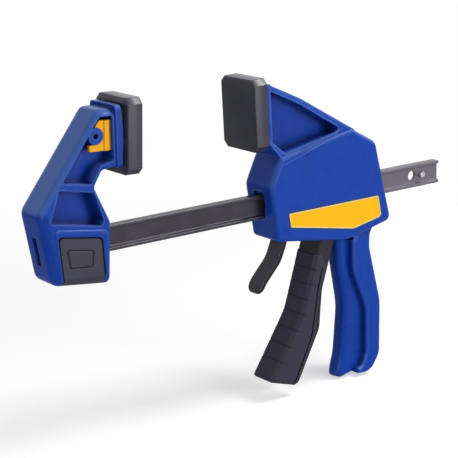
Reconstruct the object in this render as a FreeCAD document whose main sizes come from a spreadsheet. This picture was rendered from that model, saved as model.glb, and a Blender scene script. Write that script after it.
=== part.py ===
"""Quick release bar clamp: a fixed jaw latched on an I-section bar, and a movable jaw with a trigger drive.

Every piece is drawn about the bar. X runs along the bar from the fixed jaw to the free end, Z points the way the
jaws do, and the drawing's zero is where the bar's axis passes under the movable jaw's pad face. A placement then
lowers each piece by the throat, so the part's origin is the centre of that pad face. Lengths are in millimetres.
"""

import FreeCAD, Part
import math
import os
from types import SimpleNamespace

Vector = FreeCAD.Vector
X_AXIS = Vector(1, 0, 0)
Y_AXIS = Vector(0, 1, 0)
ARCS_TO_A_TURN = 4
WIRE_SIDES = 4
TOLERANCE = 1e-4

# Driving sizes: millimetres, and degrees for toe_in, swings and leans.
SIZES = {
    "overrun": 2.0,
    "running_gap": 0.3,
    "seat_gap": 0.1,
    # Bar
    "bar_height": 19.0,
    "bar_width": 7.5,
    "bar_length": 389.9,
    "bar_tail": 75.6,
    "bar_web": 3.0,
    "bar_lip": 2.2,
    "bar_root": 3.4,
    "bar_hole": 8.4,
    "bar_hole_inset": 29.1,
    "stop_pin": 5.0,
    "stop_pin_inset": 19.0,
    "stop_pin_proud": 0.9,
    # Jaw pads
    "throat": 76.0,
    "toe_in": 2.17,
    "pad_rim_side": 3.7,
    "pad_rim_end": 5.55,
    "pad_thickness": 12.5,
    "pad_corner": 4.5,
    "pad_edge": 1.2,
    "pad_socket": 4.5,
    # Fixed jaw
    "fixed_jaw_depth": 70.6,
    "fixed_jaw_width": 32.0,
    "fixed_jaw_drop": 30.5,
    "fixed_jaw_web": 10.0,
    "fixed_jaw_edge": 2.0,
    "fixed_jaw_round": 7.0,
    "back_wall": 2.5,
    "slot_width": 6.0,
    "slot_height": 21.5,
    "flange_width": 34.0,
    "flange_height": 45.6,
    "flange_rise": 1.3,
    "flange_thickness": 6.0,
    "flange_corner": 3.0,
    "flange_crown": 1.6,
    # Swivel pad's carrier
    "carrier_gap": 1.2,
    "carrier_plate": 3.0,
    "carrier_width": 27.6,
    "carrier_height": 40.0,
    "cheek_inside": 19.4,
    "cheek_outside": 25.0,
    "cheek_height": 22.0,
    "cheek_reach": 27.0,
    "cheek_rib": 4.1,
    "cheek_rib_proud": 1.0,
    "cheek_way": 2.5,
    "boss_radius": 6.2,
    "boss_bore": 4.0,
    "boss_setback": 20.9,
    "boss_rise": 3.3,
    "boss_proud": 0.8,
    # Latch block and push button
    "latch_setback": 20.4,
    "latch_width": 37.6,
    "latch_rise": 11.8,
    "latch_slope": 6.1,
    "latch_draft": 3.2,
    "latch_corner": 4.0,
    "latch_proud": 0.3,
    "latch_gap": 0.4,
    "latch_bolt": 8.0,
    "latch_stem": 3.2,
    "latch_arm": 4.0,
    "latch_wall": 2.0,
    "button_width": 21.9,
    "button_height": 11.6,
    "button_slope": 3.8,
    "button_draft": 2.6,
    "button_thickness": 3.0,
    "button_travel": 3.5,
    "button_corner": 1.2,
    "button_wall": 1.3,
    "button_spring_radius": 3.0,
    "button_spring_wire": 0.6,
    # Movable jaw
    "housing_width": 34.0,
    "housing_length": 124.0,
    "housing_setback": 17.2,
    "housing_drop": 38.4,
    "housing_rise": 53.6,
    "housing_wall": 3.8,
    "housing_front_round": 9.0,
    "housing_edge": 3.5,
    "arm_width": 31.0,
    "arm_web": 6.0,
    "arm_plate_width": 35.0,
    "arm_plate_height": 45.0,
    "arm_plate_thickness": 9.8,
    "window_recess": 4.0,
    "window_lip": 2.4,
    "badge_thickness": 0.9,
    "badge_recess": 0.6,
    "badge_length": 97.4,
    "badge_height": 23.6,
    "badge_setback": 34.6,
    "badge_drop": 5.5,
    "handle_setback": 91.0,
    "handle_depth": 42.2,
    "handle_top": 34.4,
    "handle_length": 126.1,
    "handle_web": 16.0,
    "handle_web_round": 6.5,
    "handle_strip": 28.0,
    "handle_strip_round": 4.0,
    "handle_edge": 2.0,
    # Trigger
    "trigger_swing": 20.0,
    "trigger_setback": 84.0,
    "trigger_pin": 6.0,
    "trigger_pin_gap": 2.0,
    "trigger_boss": 12.0,
    "trigger_reach": 71.0,
    "trigger_drop": 165.5,
    "trigger_width": 25.0,
    "trigger_channel": 18.6,
    "trigger_wall": 2.4,
    "grip_thickness": 1.9,
    "grip_proud": 0.5,
    "nose_drop": 4.0,
    "nose_reach": 9.0,
    # Drive plates, springs and the cavities that hold them
    "plate_thickness": 3.2,
    "plate_width": 24.8,
    "plate_height": 32.0,
    "plate_lean": 4.0,
    "spring_radius": 11.6,
    "spring_wire": 1.4,
    "spring_turns": 4,
    "brake_spring_turns": 2,
    "button_spring_turns": 3,
    "cavity_rise": 24.0,
    "cavity_corner": 1.5,
    "brake_cavity_setback": 31.5,
    "brake_cavity": 20.5,
    "rib_thickness": 4.0,
    "rear_wall": 12.4,
    "trigger_way": 108.0,
    "floor_thickness": 4.6,
    # Brake plate and release lever
    "brake_setback": 40.5,
    "brake_rise": 20.0,
    "brake_lean": 7.0,
    "brake_thickness": 3.0,
    "brake_width": 20.0,
    "brake_head": 1.45,
    "brake_foot": 17.0,
    "brake_tongue": 12.0,
    "tongue_length": 5.0,
    "lever_width": 16.0,
    "lever_thickness": 3.2,
    "lever_socket": 14.0,
    "lever_head": 9.0,
    "lever_reach": 26.0,
    "lever_drop": 69.0,
    "lever_round": 6.0,
    "lever_tip": 7.0,
}

# Outlines as shares of their piece: along it, up or down it, and corner radius in shares of the piece's own round.
FIXED_JAW_SHARES = (
    (0.252, 1.287, 0.9), (1.006, 0.379, 1.4), (0.872, -0.803, 1.2), (0.214, -0.994, 0.0),
    (0.182, 0.217, 0.8), (0.358, 0.568, 0.6), (0.256, 0.721, 0.6), (0.057, 0.737, 0.0), (0.057, 1.280, 0.0),
)
UPPER_POCKET_SHARES = (
    (0.252, 1.228, 0.4), (0.115, 1.225, 0.2), (0.115, 0.800, 0.2), (0.277, 0.768, 0.6),
    (0.385, 0.603, 0.2), (0.722, 0.655, 0.2),
)
LOWER_POCKET_SHARES = (
    (0.768, 0.596, 0.3), (0.890, 0.293, 0.4), (0.242, 0.182, 0.5), (0.368, 0.521, 0.3),
)
HOUSING_SHARES = (
    (0.088, 0.756, 0.42), (0.676, 1.000, 0.6), (0.884, 0.733, 0.9), (1.024, -0.741, 0.6),
    (0.652, -1.000, 4.4), (0.232, -0.790, 3.3), (0.055, -0.707, 0.45), (-0.003, 0.321, 1.3),
)
ARM_SHARES = (
    (-0.016, 1.307, 0.2), (0.248, 1.109, 6.0), (0.700, 0.689, 0.0), (0.700, 0.395, 0.0),
    (0.095, 0.395, 0.0), (0.085, 0.539, 0.5), (-0.014, 0.711, 0.2),
)
ARM_POCKET_SHARES = (
    (-0.001, 1.237, 0.2), (0.248, 1.046, 6.0), (0.600, 0.707, 0.3), (0.129, 0.560, 0.5), (0.008, 0.722, 0.2),
)
HANDLE_WEB_SHARES = (
    (0.000, 0.000, 0.0), (0.064, 0.211, 6.0), (0.229, 0.512, 9.0), (0.142, 0.822, 6.0), (0.045, 0.981, 0.0),
    (0.185, 1.000, 0.4), (0.664, 0.967, 0.0), (0.700, 0.917, 0.0), (0.700, 0.520, 0.0), (0.420, 0.203, 0.0),
    (0.420, -0.020, 0.0),
)
HANDLE_STRIP_SHARES = (
    (0.316, 0.000, 0.0), (0.322, 0.250, 6.0), (0.671, 0.528, 4.5), (0.678, 0.842, 2.0), (0.600, 0.920, 1.2),
    (0.480, 0.944, 0.0), (0.480, 0.976, 0.0), (0.800, 0.982, 3.0), (1.035, 0.870, 4.0), (1.043, 0.500, 9.0),
    (0.755, 0.115, 4.0), (0.765, 0.030, 2.0), (0.880, -0.040, 0.0), (0.316, -0.030, 0.0),
)
BADGE_SHARES = ((0.0, 0.0), (0.965, 0.010), (1.0, 0.700), (0.975, 0.790), (0.690, 1.0), (0.018, 0.485))
TRIGGER_FRONT_SHARES = (
    (-0.178, 0.250, 0.0), (-0.472, 0.652, 12.0), (-0.926, 0.947, 0.4), (-0.905, 0.9605, 0.4),
)
TRIGGER_REAR_SHARES = (
    (-0.521, 1.000, 0.8), (-0.200, 0.746, 3.6), (-0.157, 0.550, 5.0), (0.017, 0.323, 2.5), (0.033, 0.233, 1.6),
)
GRIP_REAR_SHARES = (
    (-0.563, 1.0075, 0.5), (-0.259, 0.746, 3.3), (-0.212, 0.556, 4.7), (-0.122, 0.423, 0.4), (-0.180, 0.366, 0.2),
)
LEVER_FRONT_SHARES = ((0.145, 0.177, 0.0), (0.108, 0.433, 4.0), (-0.140, 0.649, 4.0), (-0.705, 0.870, 4.0),
                      (-0.905, 1.000, 0.0))

BAR_REACH_SHARE = 0.926
LATCH_PLACE_SHARE = 0.275
BUTTON_PLACE_SHARE = 0.763
HOUSING_REAR_SHARE = 0.947
LEVER_HEAD_SHARE = 0.44
HEEL_SHARE = 0.45
HANDLE_FRONT_SHARE = 0.27

doc = FreeCAD.newDocument("bar_clamp")


def fill_sheet():
    """Write every driving size to the sheet under its own name, and give the sheet's values back."""
    sheet = doc.addObject("Spreadsheet::Sheet", "sizes")
    for row, (name, value) in enumerate(SIZES.items(), start=1):
        sheet.set(f"A{row}", name)
        sheet.set(f"B{row}", str(value))
        sheet.setAlias(f"B{row}", name)
    doc.recompute()
    return SimpleNamespace(**{name: float(sheet.get(name)) for name in SIZES})


size = fill_sheet()

# Places along the bar that several pieces share
housing_rear = size.housing_setback + HOUSING_REAR_SHARE * size.housing_length
bar_end = housing_rear + size.bar_tail
bar_start = bar_end - size.bar_length
latch_x = bar_start + size.bar_hole_inset
jaw_face = bar_start + BAR_REACH_SHARE * size.fixed_jaw_depth - size.back_wall
opening = -jaw_face - size.pad_thickness - size.carrier_gap
pad_width = size.arm_plate_width + 2 * size.pad_rim_side
pad_height = size.arm_plate_height + 2 * size.pad_rim_end
drive_front = size.brake_cavity_setback + size.brake_cavity + size.rib_thickness
drive_rear = housing_rear - size.rear_wall
pin_rise = size.bar_height / 2 + size.trigger_pin_gap + size.trigger_pin / 2


def corner_arc(start, end, centre, radius, left_turn):
    """A sketch arc about centre from start to end, kept anticlockwise as sketches want it."""
    first = math.atan2(start.y - centre.y, start.x - centre.x)
    last = math.atan2(end.y - centre.y, end.x - centre.x)
    if not left_turn:
        first, last = last, first
    if last < first:
        last += 2 * math.pi
    return Part.ArcOfCircle(Part.Circle(centre, Vector(0, 0, 1), radius), first, last)


def rounded(points):
    """Closed outline through (x, y, radius) corners, each corner rounded by its own radius."""
    corners = [Vector(x, y, 0) for x, y, _ in points]
    stretches = []
    for index, (_, _, radius) in enumerate(points):
        corner = corners[index]
        back = (corners[index - 1] - corner).normalize()
        ahead = (corners[(index + 1) % len(corners)] - corner).normalize()
        if radius <= 0:
            stretches.append((corner, corner, None))
            continue
        half = back.getAngle(ahead) / 2
        start = corner + back * (radius / math.tan(half))
        end = corner + ahead * (radius / math.tan(half))
        centre = corner + (back + ahead).normalize() * (radius / math.sin(half))
        stretches.append((start, end, corner_arc(start, end, centre, radius, back.cross(ahead).z < 0)))
    edges = []
    for index, (_, end, arc) in enumerate(stretches):
        if arc is not None:
            edges.append(arc)
        following = stretches[(index + 1) % len(stretches)][0]
        if not following.isEqual(end, TOLERANCE):
            edges.append(Part.LineSegment(end, following))
    return edges


def rectangle(left, right, bottom, top, radius=0.0):
    """Closed rectangle with its corners rounded by radius."""
    return rounded([(left, bottom, radius), (right, bottom, radius), (right, top, radius), (left, top, radius)])


def circle(x, y, radius):
    """Full circle about (x, y)."""
    return [Part.Circle(Vector(x, y, 0), Vector(0, 0, 1), radius)]


def grown(points, gap):
    """Corners moved out by gap from every edge, or in where gap is negative."""
    corners = [Vector(x, y, 0) for x, y, _ in points]
    turning = sum(corners[index - 1].cross(corner).z for index, corner in enumerate(corners))
    side = math.copysign(1, turning)
    moved = []
    for index, (corner, (_, _, radius)) in enumerate(zip(corners, points)):
        before = (corner - corners[index - 1]).normalize()
        after = (corners[(index + 1) % len(corners)] - corner).normalize()
        out = (Vector(before.y, -before.x, 0) + Vector(after.y, -after.x, 0)) * side
        shift = out * (gap / (1 + before.dot(after)))
        bend = math.copysign(gap, before.cross(after).z * side * gap)
        moved.append((corner.x + shift.x, corner.y + shift.y, max(radius + bend, 0.0) if radius else 0.0))
    return moved


def side_view(shares, start, run, rise, drop, unit):
    """Outline seen from the side: shares along run from start, of rise above the bar's axis and of drop below."""
    return rounded([(start + along * run, up * (rise if up > 0 else drop), radius * unit)
                    for along, up, radius in shares])


def leaned(points, pivot, degrees):
    """Corners turned about pivot so that what is below it swings towards the fixed jaw by degrees."""
    turn = math.radians(degrees)
    placed = []
    for x, z, radius in points:
        across = x - pivot[0]
        up = z - pivot[1]
        placed.append((pivot[0] + across * math.cos(turn) + up * math.sin(turn),
                       pivot[1] - across * math.sin(turn) + up * math.cos(turn), radius))
    return placed


def start_body(name, x=0.0, z=0.0, lean=0.0):
    """A body named for its piece, with its own zero at (x, z) in the drawing and leaned about it."""
    body = doc.addObject("PartDesign::Body", name)
    body.Label = name
    body.Placement = FreeCAD.Placement(Vector(x, 0, z - size.throat), FreeCAD.Rotation(Y_AXIS, lean))
    return body


def draw(body, role, edges, offset=0.0):
    """A sketch of edges on one of the body's own origin planes, moved along that plane's normal."""
    sketch = body.newObject("Sketcher::SketchObject", "Outline")
    base = next(feature for feature in body.Origin.OriginFeatures if feature.Role == role)
    sketch.AttachmentSupport = [(base, "")]
    sketch.MapMode = "FlatFace"
    sketch.AttachmentOffset = FreeCAD.Placement(Vector(0, 0, offset), FreeCAD.Rotation())
    sketch.addGeometry(edges, False)
    sketch.detectMissingPointOnPointConstraints(TOLERANCE)
    sketch.makeMissingPointOnPointCoincident()
    return sketch


def extrude(body, kind, role, edges, length, offset=None, backwards=False):
    """Pad or pocket edges by an expression on the sheet: about the plane, or one way from offset."""
    feature = body.newObject(f"PartDesign::{kind}", kind)
    feature.Profile = draw(body, role, edges, offset or 0.0)
    feature.Midplane = offset is None
    feature.Reversed = backwards
    feature.setExpression("Length", length)
    doc.recompute()
    return feature


def pad(body, role, edges, length, offset=None, backwards=False):
    """Add material."""
    return extrude(body, "Pad", role, edges, length, offset, backwards)


def pocket(body, role, edges, length, offset=None, backwards=False):
    """Take material away."""
    return extrude(body, "Pocket", role, edges, length, offset, backwards)


def both_sides(body, feature):
    """Repeat a feature on the other side of the clamp's middle plane."""
    mirrored = body.newObject("PartDesign::Mirrored", "Mirrored")
    mirrored.Originals = [feature]
    middle = next(plane for plane in body.Origin.OriginFeatures if plane.Role == "XZ_Plane")
    mirrored.MirrorPlane = (middle, [""])
    body.Tip = mirrored
    doc.recompute()
    return mirrored


def dress(body, kind, chosen, expression, radius_name):
    """Fillet or chamfer the tip's edges that chosen(edge) picks, by an expression on the sheet."""
    tip = body.Tip
    names = [f"Edge{number}" for number, edge in enumerate(tip.Shape.Edges, start=1) if chosen(edge)]
    feature = body.newObject(f"PartDesign::{kind}", kind)
    feature.Base = (tip, names)
    feature.setExpression(radius_name, expression)
    doc.recompute()
    return feature


def fillet(body, chosen, radius):
    """Round the chosen edges."""
    return dress(body, "Fillet", chosen, radius, "Radius")


def chamfer(body, chosen, width):
    """Bevel the chosen edges."""
    return dress(body, "Chamfer", chosen, width, "Size")


def middle_of(edge):
    """Point halfway along an edge."""
    return edge.valueAt((edge.FirstParameter + edge.LastParameter) / 2)


def runs_along(edge, axis):
    """True for a straight edge parallel to axis."""
    chord = edge.Vertexes[-1].Point - edge.Vertexes[0].Point
    return chord.Length > TOLERANCE and abs(abs(chord.dot(axis)) - edge.Length) < TOLERANCE


def make_bar():
    """I-section bar with a hole near each end, so the fixed jaw can be latched at either."""
    body = start_body("bar")
    edge = size.bar_height / 2
    face = size.bar_width / 2
    web = size.bar_web / 2
    lip = edge - size.bar_lip
    root = edge - size.bar_root
    quarter = [(face, edge), (face, lip), (web, root)]
    half = quarter + [(y, -z) for y, z in reversed(quarter)]
    section = [(y, z, 0.0) for y, z in half + [(-y, -z) for y, z in half]]
    pad(body, "YZ_Plane", rounded(section), "sizes.bar_length", bar_start)
    for x in (bar_start + size.bar_hole_inset, bar_end - size.bar_hole_inset):
        pocket(body, "XZ_Plane", circle(x, 0.0, size.bar_hole / 2), "sizes.bar_width")
    pocket(body, "XZ_Plane", circle(bar_end - size.stop_pin_inset, 0.0, size.stop_pin / 2), "sizes.bar_width")
    return body


def make_stop_pin():
    """Pin through the bar's web that keeps the movable jaw from running off the end."""
    pin = doc.addObject("Part::Cylinder", "stop_pin")
    pin.Label = "stop_pin"
    pin.setExpression("Radius", "sizes.stop_pin / 2")
    pin.setExpression("Height", "sizes.bar_width + 2 * sizes.stop_pin_proud")
    end = size.bar_width / 2 + size.stop_pin_proud
    pin.Placement = FreeCAD.Placement(
        Vector(bar_end - size.stop_pin_inset, end, -size.throat), FreeCAD.Rotation(X_AXIS, 90))
    return pin


def boss_place():
    """Where the swivel pad's hinge lies behind the flange: distance along the bar and height above it."""
    return jaw_face - size.boss_setback, size.throat + size.boss_rise


def underside(x):
    """Height of the fixed jaw's foot, which slopes down from its back corner to its front one."""
    (back, low, _), (front, lowest, _) = FIXED_JAW_SHARES[2], FIXED_JAW_SHARES[3]
    along = (jaw_face - x) / size.fixed_jaw_depth
    return size.fixed_jaw_drop * (lowest + (low - lowest) * (along - front) / (back - front))


def latch_outline(gap):
    """Side view of the latch block, grown by gap: sloped top, drafted sides, the jaw's own underside."""
    right = jaw_face - LATCH_PLACE_SHARE * size.fixed_jaw_depth
    left = right - size.latch_width
    low_left = left + size.latch_draft
    below = gap * size.overrun / size.latch_gap - size.seat_gap
    points = [
        (left, size.latch_rise, size.latch_corner),
        (right - size.latch_draft / 2, size.latch_rise - size.latch_slope, size.latch_corner),
        (right, underside(right) - below, 0.0),
        (low_left, underside(low_left) - below, 0.0),
    ]
    return rounded(grown(points, gap)) if gap else rounded(points)


def is_under(edge, half):
    """True for an edge of the foot's sloped underside, half the jaw's width out."""
    point = middle_of(edge)
    return abs(abs(point.y) - half) < TOLERANCE and point.z < underside(point.x) + size.fixed_jaw_edge


def make_fixed_jaw():
    """Fixed jaw: a ribbed web between two rims, a flange for the swivel pad, and a foot round the bar."""
    body = start_body("fixed_jaw")
    depth = -size.fixed_jaw_depth
    outline = side_view(FIXED_JAW_SHARES, jaw_face, depth, size.throat, size.fixed_jaw_drop, size.fixed_jaw_round)
    pad(body, "XZ_Plane", outline, "sizes.fixed_jaw_width")
    half = size.fixed_jaw_width / 2
    fillet(body, lambda edge: is_under(edge, half), "sizes.fixed_jaw_round")
    fillet(body, lambda edge: abs(abs(middle_of(edge).y) - half) < TOLERANCE and middle_of(edge).z > 0,
           "sizes.fixed_jaw_edge")
    middle = size.throat + size.flange_rise
    top = size.flange_height / 2
    back = jaw_face - size.flange_thickness
    crowned = jaw_face - size.flange_crown
    flange = [(back, middle - top, 0.0), (crowned, middle - top, 0.0), (jaw_face, middle - top / 4, 0.0),
              (jaw_face, middle + top / 4, 0.0), (crowned, middle + top, 0.0), (back, middle + top, 0.0)]
    pad(body, "XZ_Plane", rounded(flange), "sizes.flange_width")
    side = size.flange_width / 2
    fillet(body, lambda edge: runs_along(edge, X_AXIS) and abs(abs(middle_of(edge).y) - side) < TOLERANCE
           and abs(abs(middle_of(edge).z - middle) - top) < TOLERANCE, "sizes.flange_corner")
    for shares in (UPPER_POCKET_SHARES, LOWER_POCKET_SHARES):
        outline = side_view(shares, jaw_face, depth, size.throat, size.fixed_jaw_drop, size.fixed_jaw_round)
        cut = pocket(body, "XZ_Plane", outline, "(sizes.fixed_jaw_width - sizes.fixed_jaw_web) / 2", half)
        both_sides(body, cut)
    hinge_x, hinge_z = boss_place()
    boss = pad(body, "XZ_Plane", circle(hinge_x, hinge_z, size.boss_radius),
               "sizes.cheek_outside + 2 * sizes.boss_proud")
    body.Tip = boss
    pocket(body, "XZ_Plane", circle(hinge_x, hinge_z, size.boss_bore / 2), "sizes.fixed_jaw_width")
    way = rectangle(size.cheek_inside / 2 - size.running_gap, size.cheek_outside / 2 + size.running_gap,
                    hinge_z - size.cheek_height / 2 - size.cheek_way,
                    hinge_z + size.cheek_height / 2 + size.cheek_way)
    window = pocket(body, "YZ_Plane", way, "sizes.flange_thickness + 3 * sizes.overrun",
                    jaw_face + size.overrun)
    both_sides(body, window)
    pocket(body, "XZ_Plane", latch_outline(size.latch_gap), "sizes.fixed_jaw_width + 2 * sizes.overrun")
    gap = size.running_gap
    socket = rectangle(-size.bar_width / 2 - gap, size.bar_width / 2 + gap, -size.bar_height / 2 - gap,
                       size.bar_height / 2 + gap)
    pocket(body, "YZ_Plane", socket, "sizes.fixed_jaw_depth + sizes.overrun", bar_start - size.seat_gap,
           backwards=True)
    slot = rectangle(-size.slot_width / 2, size.slot_width / 2, -size.slot_height / 2, size.slot_height / 2)
    pocket(body, "YZ_Plane", slot, "2 * sizes.back_wall + 2 * sizes.overrun", bar_start + size.overrun)
    return body


def make_latch_block():
    """Latch block: closes round the bar in the jaw's foot and guides the button and its pin."""
    body = start_body("latch_block")
    pad(body, "XZ_Plane", latch_outline(0.0), "sizes.fixed_jaw_width + 2 * sizes.latch_proud")
    half = size.fixed_jaw_width / 2 + size.latch_proud
    fillet(body, lambda edge: is_under(edge, half), "sizes.fixed_jaw_round")
    gap = size.running_gap
    socket = rectangle(-size.bar_width / 2 - gap, size.bar_width / 2 + gap, -size.bar_height / 2 - gap,
                       size.bar_height / 2 + gap)
    pocket(body, "YZ_Plane", socket, "sizes.fixed_jaw_depth", jaw_face)
    pocket(body, "XZ_Plane", rounded(grown(button_points(), gap)),
           "sizes.overrun + sizes.button_thickness + sizes.button_travel + sizes.latch_proud", half + size.overrun)
    spring_x, spring_z = button_spring_place()
    pocket(body, "XZ_Plane", circle(spring_x, spring_z, size.button_spring_radius + gap),
           "sizes.overrun + (sizes.fixed_jaw_width - sizes.bar_width) / 2 - sizes.button_wall", half + size.overrun)
    yoke_floor, yoke_top = yoke_heights()
    left = latch_x - size.latch_bolt / 2 - gap
    right = latch_x + size.latch_bolt / 2 + gap
    pocket(body, "XZ_Plane", rectangle(left, right, yoke_floor - gap, yoke_top + gap),
           "sizes.fixed_jaw_width + 2 * sizes.latch_proud - 2 * sizes.latch_wall")
    pocket(body, "XZ_Plane", rectangle(left, right, yoke_floor - gap, size.latch_bolt / 2 + gap),
           "(sizes.fixed_jaw_width - sizes.bar_width) / 2 + sizes.latch_proud - sizes.latch_wall",
           size.latch_wall - half, backwards=True)
    return body


def button_points():
    """Corners of the push button seen from its side."""
    left = latch_x - BUTTON_PLACE_SHARE * size.button_width
    right = left + size.button_width
    top = size.latch_corner / 3
    low = top - size.button_height - size.button_slope / 2
    return [
        (left, top, size.button_corner),
        (left + size.button_draft, low, size.button_corner),
        (right - size.button_draft / 2, low - size.button_slope / 2, size.button_corner),
        (right, top - size.button_slope, size.button_corner),
    ]


def yoke_heights():
    """Underside and top of the arm that reaches under the bar from the button to its pin."""
    top = -size.bar_height / 2 - 2 * size.running_gap
    return top - size.latch_arm, top


def button_spring_place():
    """Where the spring under the push button stands, seen from the side."""
    return latch_x - size.latch_bolt / 2 - size.button_spring_radius, -size.button_height / 3


def yoke_inside():
    """Inner face of the arm's upright on the far side, clear of the block's wall when the button is pressed."""
    outside = size.fixed_jaw_width / 2 + size.latch_proud - size.latch_wall - size.running_gap - size.button_travel
    return outside - size.button_thickness


def make_push_button():
    """Push button with the arm that reaches under the bar to the far side and carries the latch pin."""
    body = start_body("push_button")
    face = size.fixed_jaw_width / 2 + 2 * size.latch_proud
    pad(body, "XZ_Plane", rounded(button_points()), "sizes.button_thickness", face, backwards=True)
    chamfer(body, lambda edge: abs(middle_of(edge).y + face) < TOLERANCE, "sizes.button_corner / 2")
    floor, top = yoke_heights()
    left = latch_x - size.latch_bolt / 2
    right = latch_x + size.latch_bolt / 2
    pad(body, "XZ_Plane", rectangle(left, right, floor, top),
        "sizes.fixed_jaw_width + 3 * sizes.latch_proud - sizes.button_thickness - sizes.latch_wall"
        " - sizes.running_gap - sizes.button_travel",
        face - size.button_thickness, backwards=True)
    pad(body, "XZ_Plane", rectangle(left, right, floor, size.latch_bolt / 2), "sizes.button_thickness",
        -yoke_inside(), backwards=True)
    pocket(body, "XZ_Plane", circle(latch_x, 0.0, size.latch_stem / 2), "2 * sizes.button_thickness",
           -yoke_inside() + size.button_thickness / 2)
    return body


def make_latch_pin():
    """Pin that locks the bar's hole, riveted through the arm's upright on a thinner stem."""
    body = start_body("latch_pin")
    tip = size.bar_web / 2 + size.seat_gap
    pad(body, "XZ_Plane", circle(latch_x, 0.0, size.latch_bolt / 2),
        "(sizes.bar_web + sizes.fixed_jaw_width) / 2 + sizes.latch_proud - sizes.latch_wall - sizes.running_gap"
        " - sizes.button_travel - sizes.button_thickness", tip, backwards=True)
    pad(body, "XZ_Plane", circle(latch_x, 0.0, size.latch_stem / 2), "sizes.button_thickness + sizes.seat_gap",
        size.seat_gap - yoke_inside(), backwards=True)
    return body


def make_moving_pad():
    """Soft pad capping the movable jaw's plate, its face at the part's zero and toed in."""
    body = start_body("moving_pad", 0.0, size.throat, -size.toe_in)
    pad_block(body, 1)
    socket = rectangle(-size.arm_plate_width / 2 - size.seat_gap, size.arm_plate_width / 2 + size.seat_gap,
                       -size.arm_plate_height / 2 - size.seat_gap, size.arm_plate_height / 2 + size.seat_gap)
    pocket(body, "YZ_Plane", socket, "sizes.pad_socket + sizes.overrun", size.pad_thickness + size.overrun)
    return body


def pad_block(body, direction):
    """A jaw pad with bevelled corners and edges, its face at zero and its back towards direction."""
    outline = rectangle(-pad_width / 2, pad_width / 2, -pad_height / 2, pad_height / 2)
    pad(body, "YZ_Plane", outline, "sizes.pad_thickness", 0.0, backwards=direction < 0)
    chamfer(body, lambda edge: runs_along(edge, X_AXIS), "sizes.pad_corner")
    back = direction * size.pad_thickness
    fillet(body, lambda edge: abs(middle_of(edge).x - back) < TOLERANCE or abs(middle_of(edge).x) < TOLERANCE,
           "sizes.pad_edge")


def make_swivel_pad():
    """Soft pad of the fixed jaw, with its carrier's plate let into the back."""
    body = start_body("swivel_pad", -opening, size.throat, size.toe_in)
    pad_block(body, -1)
    recess = rectangle(-size.carrier_width / 2 - size.seat_gap, size.carrier_width / 2 + size.seat_gap,
                       -size.carrier_height / 2 - size.seat_gap, size.carrier_height / 2 + size.seat_gap)
    pocket(body, "YZ_Plane", recess, "sizes.carrier_plate + sizes.seat_gap + sizes.overrun",
           -size.pad_thickness - size.overrun, backwards=True)
    return body


def make_pad_carrier():
    """Carrier of the swivel pad: a plate in the pad's back and two cheeks that hook round the jaw's boss."""
    body = start_body("pad_carrier", -opening, size.throat, size.toe_in)
    back = -size.pad_thickness
    plate = rectangle(-size.carrier_width / 2, size.carrier_width / 2, -size.carrier_height / 2,
                      size.carrier_height / 2)
    pad(body, "YZ_Plane", plate, "sizes.carrier_plate", back)
    hinge_x, hinge_z = boss_place()
    (boss_x, boss_z, _), = leaned([(hinge_x + opening, hinge_z - size.throat, 0.0)], (0.0, 0.0),
                                  -size.toe_in)
    left = back - size.cheek_reach
    half = size.cheek_height / 2
    slant = boss_x + size.boss_radius / 2
    inside = back + size.carrier_plate / 2
    cheek = rounded([(left, boss_z - half, size.cheek_rib_proud), (left, boss_z, 0.0),
                     (slant, boss_z + half, size.cheek_rib_proud), (inside, boss_z + half, 0.0),
                     (inside, boss_z - half, 0.0)])
    outer = pad(body, "XZ_Plane", cheek, "(sizes.cheek_outside - sizes.cheek_inside) / 2",
                size.cheek_inside / 2)
    both_sides(body, outer)
    rib_left = boss_x + size.boss_radius + size.cheek_rib_proud
    rib = rectangle(rib_left, rib_left + size.cheek_rib, boss_z - half, boss_z + half)
    strip = pad(body, "XZ_Plane", rib, "sizes.cheek_rib_proud", size.cheek_outside / 2)
    both_sides(body, strip)
    reach = size.boss_radius + size.seat_gap
    hook = rounded([(left - size.overrun, boss_z - reach, 0.0), (boss_x + reach, boss_z - reach, reach - TOLERANCE),
                    (boss_x + reach, boss_z + reach, reach - TOLERANCE), (left - size.overrun, boss_z + reach, 0.0)])
    pocket(body, "XZ_Plane", hook, "2 * sizes.cheek_outside")
    return body


def make_jaw_body():
    """Movable jaw's one-piece moulding: housing round the bar, ribbed arm to the pad's plate, and handle."""
    body = start_body("jaw_body")
    start = size.housing_setback
    run = size.housing_length
    unit = size.housing_front_round
    outline = side_view(HOUSING_SHARES, start, run, size.housing_rise, size.housing_drop, unit)
    pad(body, "XZ_Plane", outline, "sizes.housing_width")
    half = size.housing_width / 2
    fillet(body, lambda edge: abs(abs(middle_of(edge).y) - half) < TOLERANCE, "sizes.housing_edge")
    arm = side_view(ARM_SHARES, start, run, size.throat, size.throat, unit)
    pad(body, "XZ_Plane", arm, "sizes.arm_width")
    face = size.pad_thickness - size.pad_socket + size.seat_gap
    plate = leaned([(face, size.throat - size.arm_plate_height / 2, 0.0),
                    (face + size.arm_plate_thickness, size.throat - size.arm_plate_height / 2, 0.0),
                    (face + size.arm_plate_thickness, size.throat + size.arm_plate_height / 2, 0.0),
                    (face, size.throat + size.arm_plate_height / 2, 0.0)], (0.0, size.throat), -size.toe_in)
    pad(body, "XZ_Plane", rounded(plate), "sizes.arm_plate_width")
    outline = side_view(ARM_POCKET_SHARES, start, run, size.throat, size.throat, unit)
    cut = pocket(body, "XZ_Plane", outline, "(sizes.arm_width - sizes.arm_web) / 2", size.arm_width / 2)
    both_sides(body, cut)
    hollow_jaw_body(body)
    add_handle(body)
    open_jaw_body(body)
    return body


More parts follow.
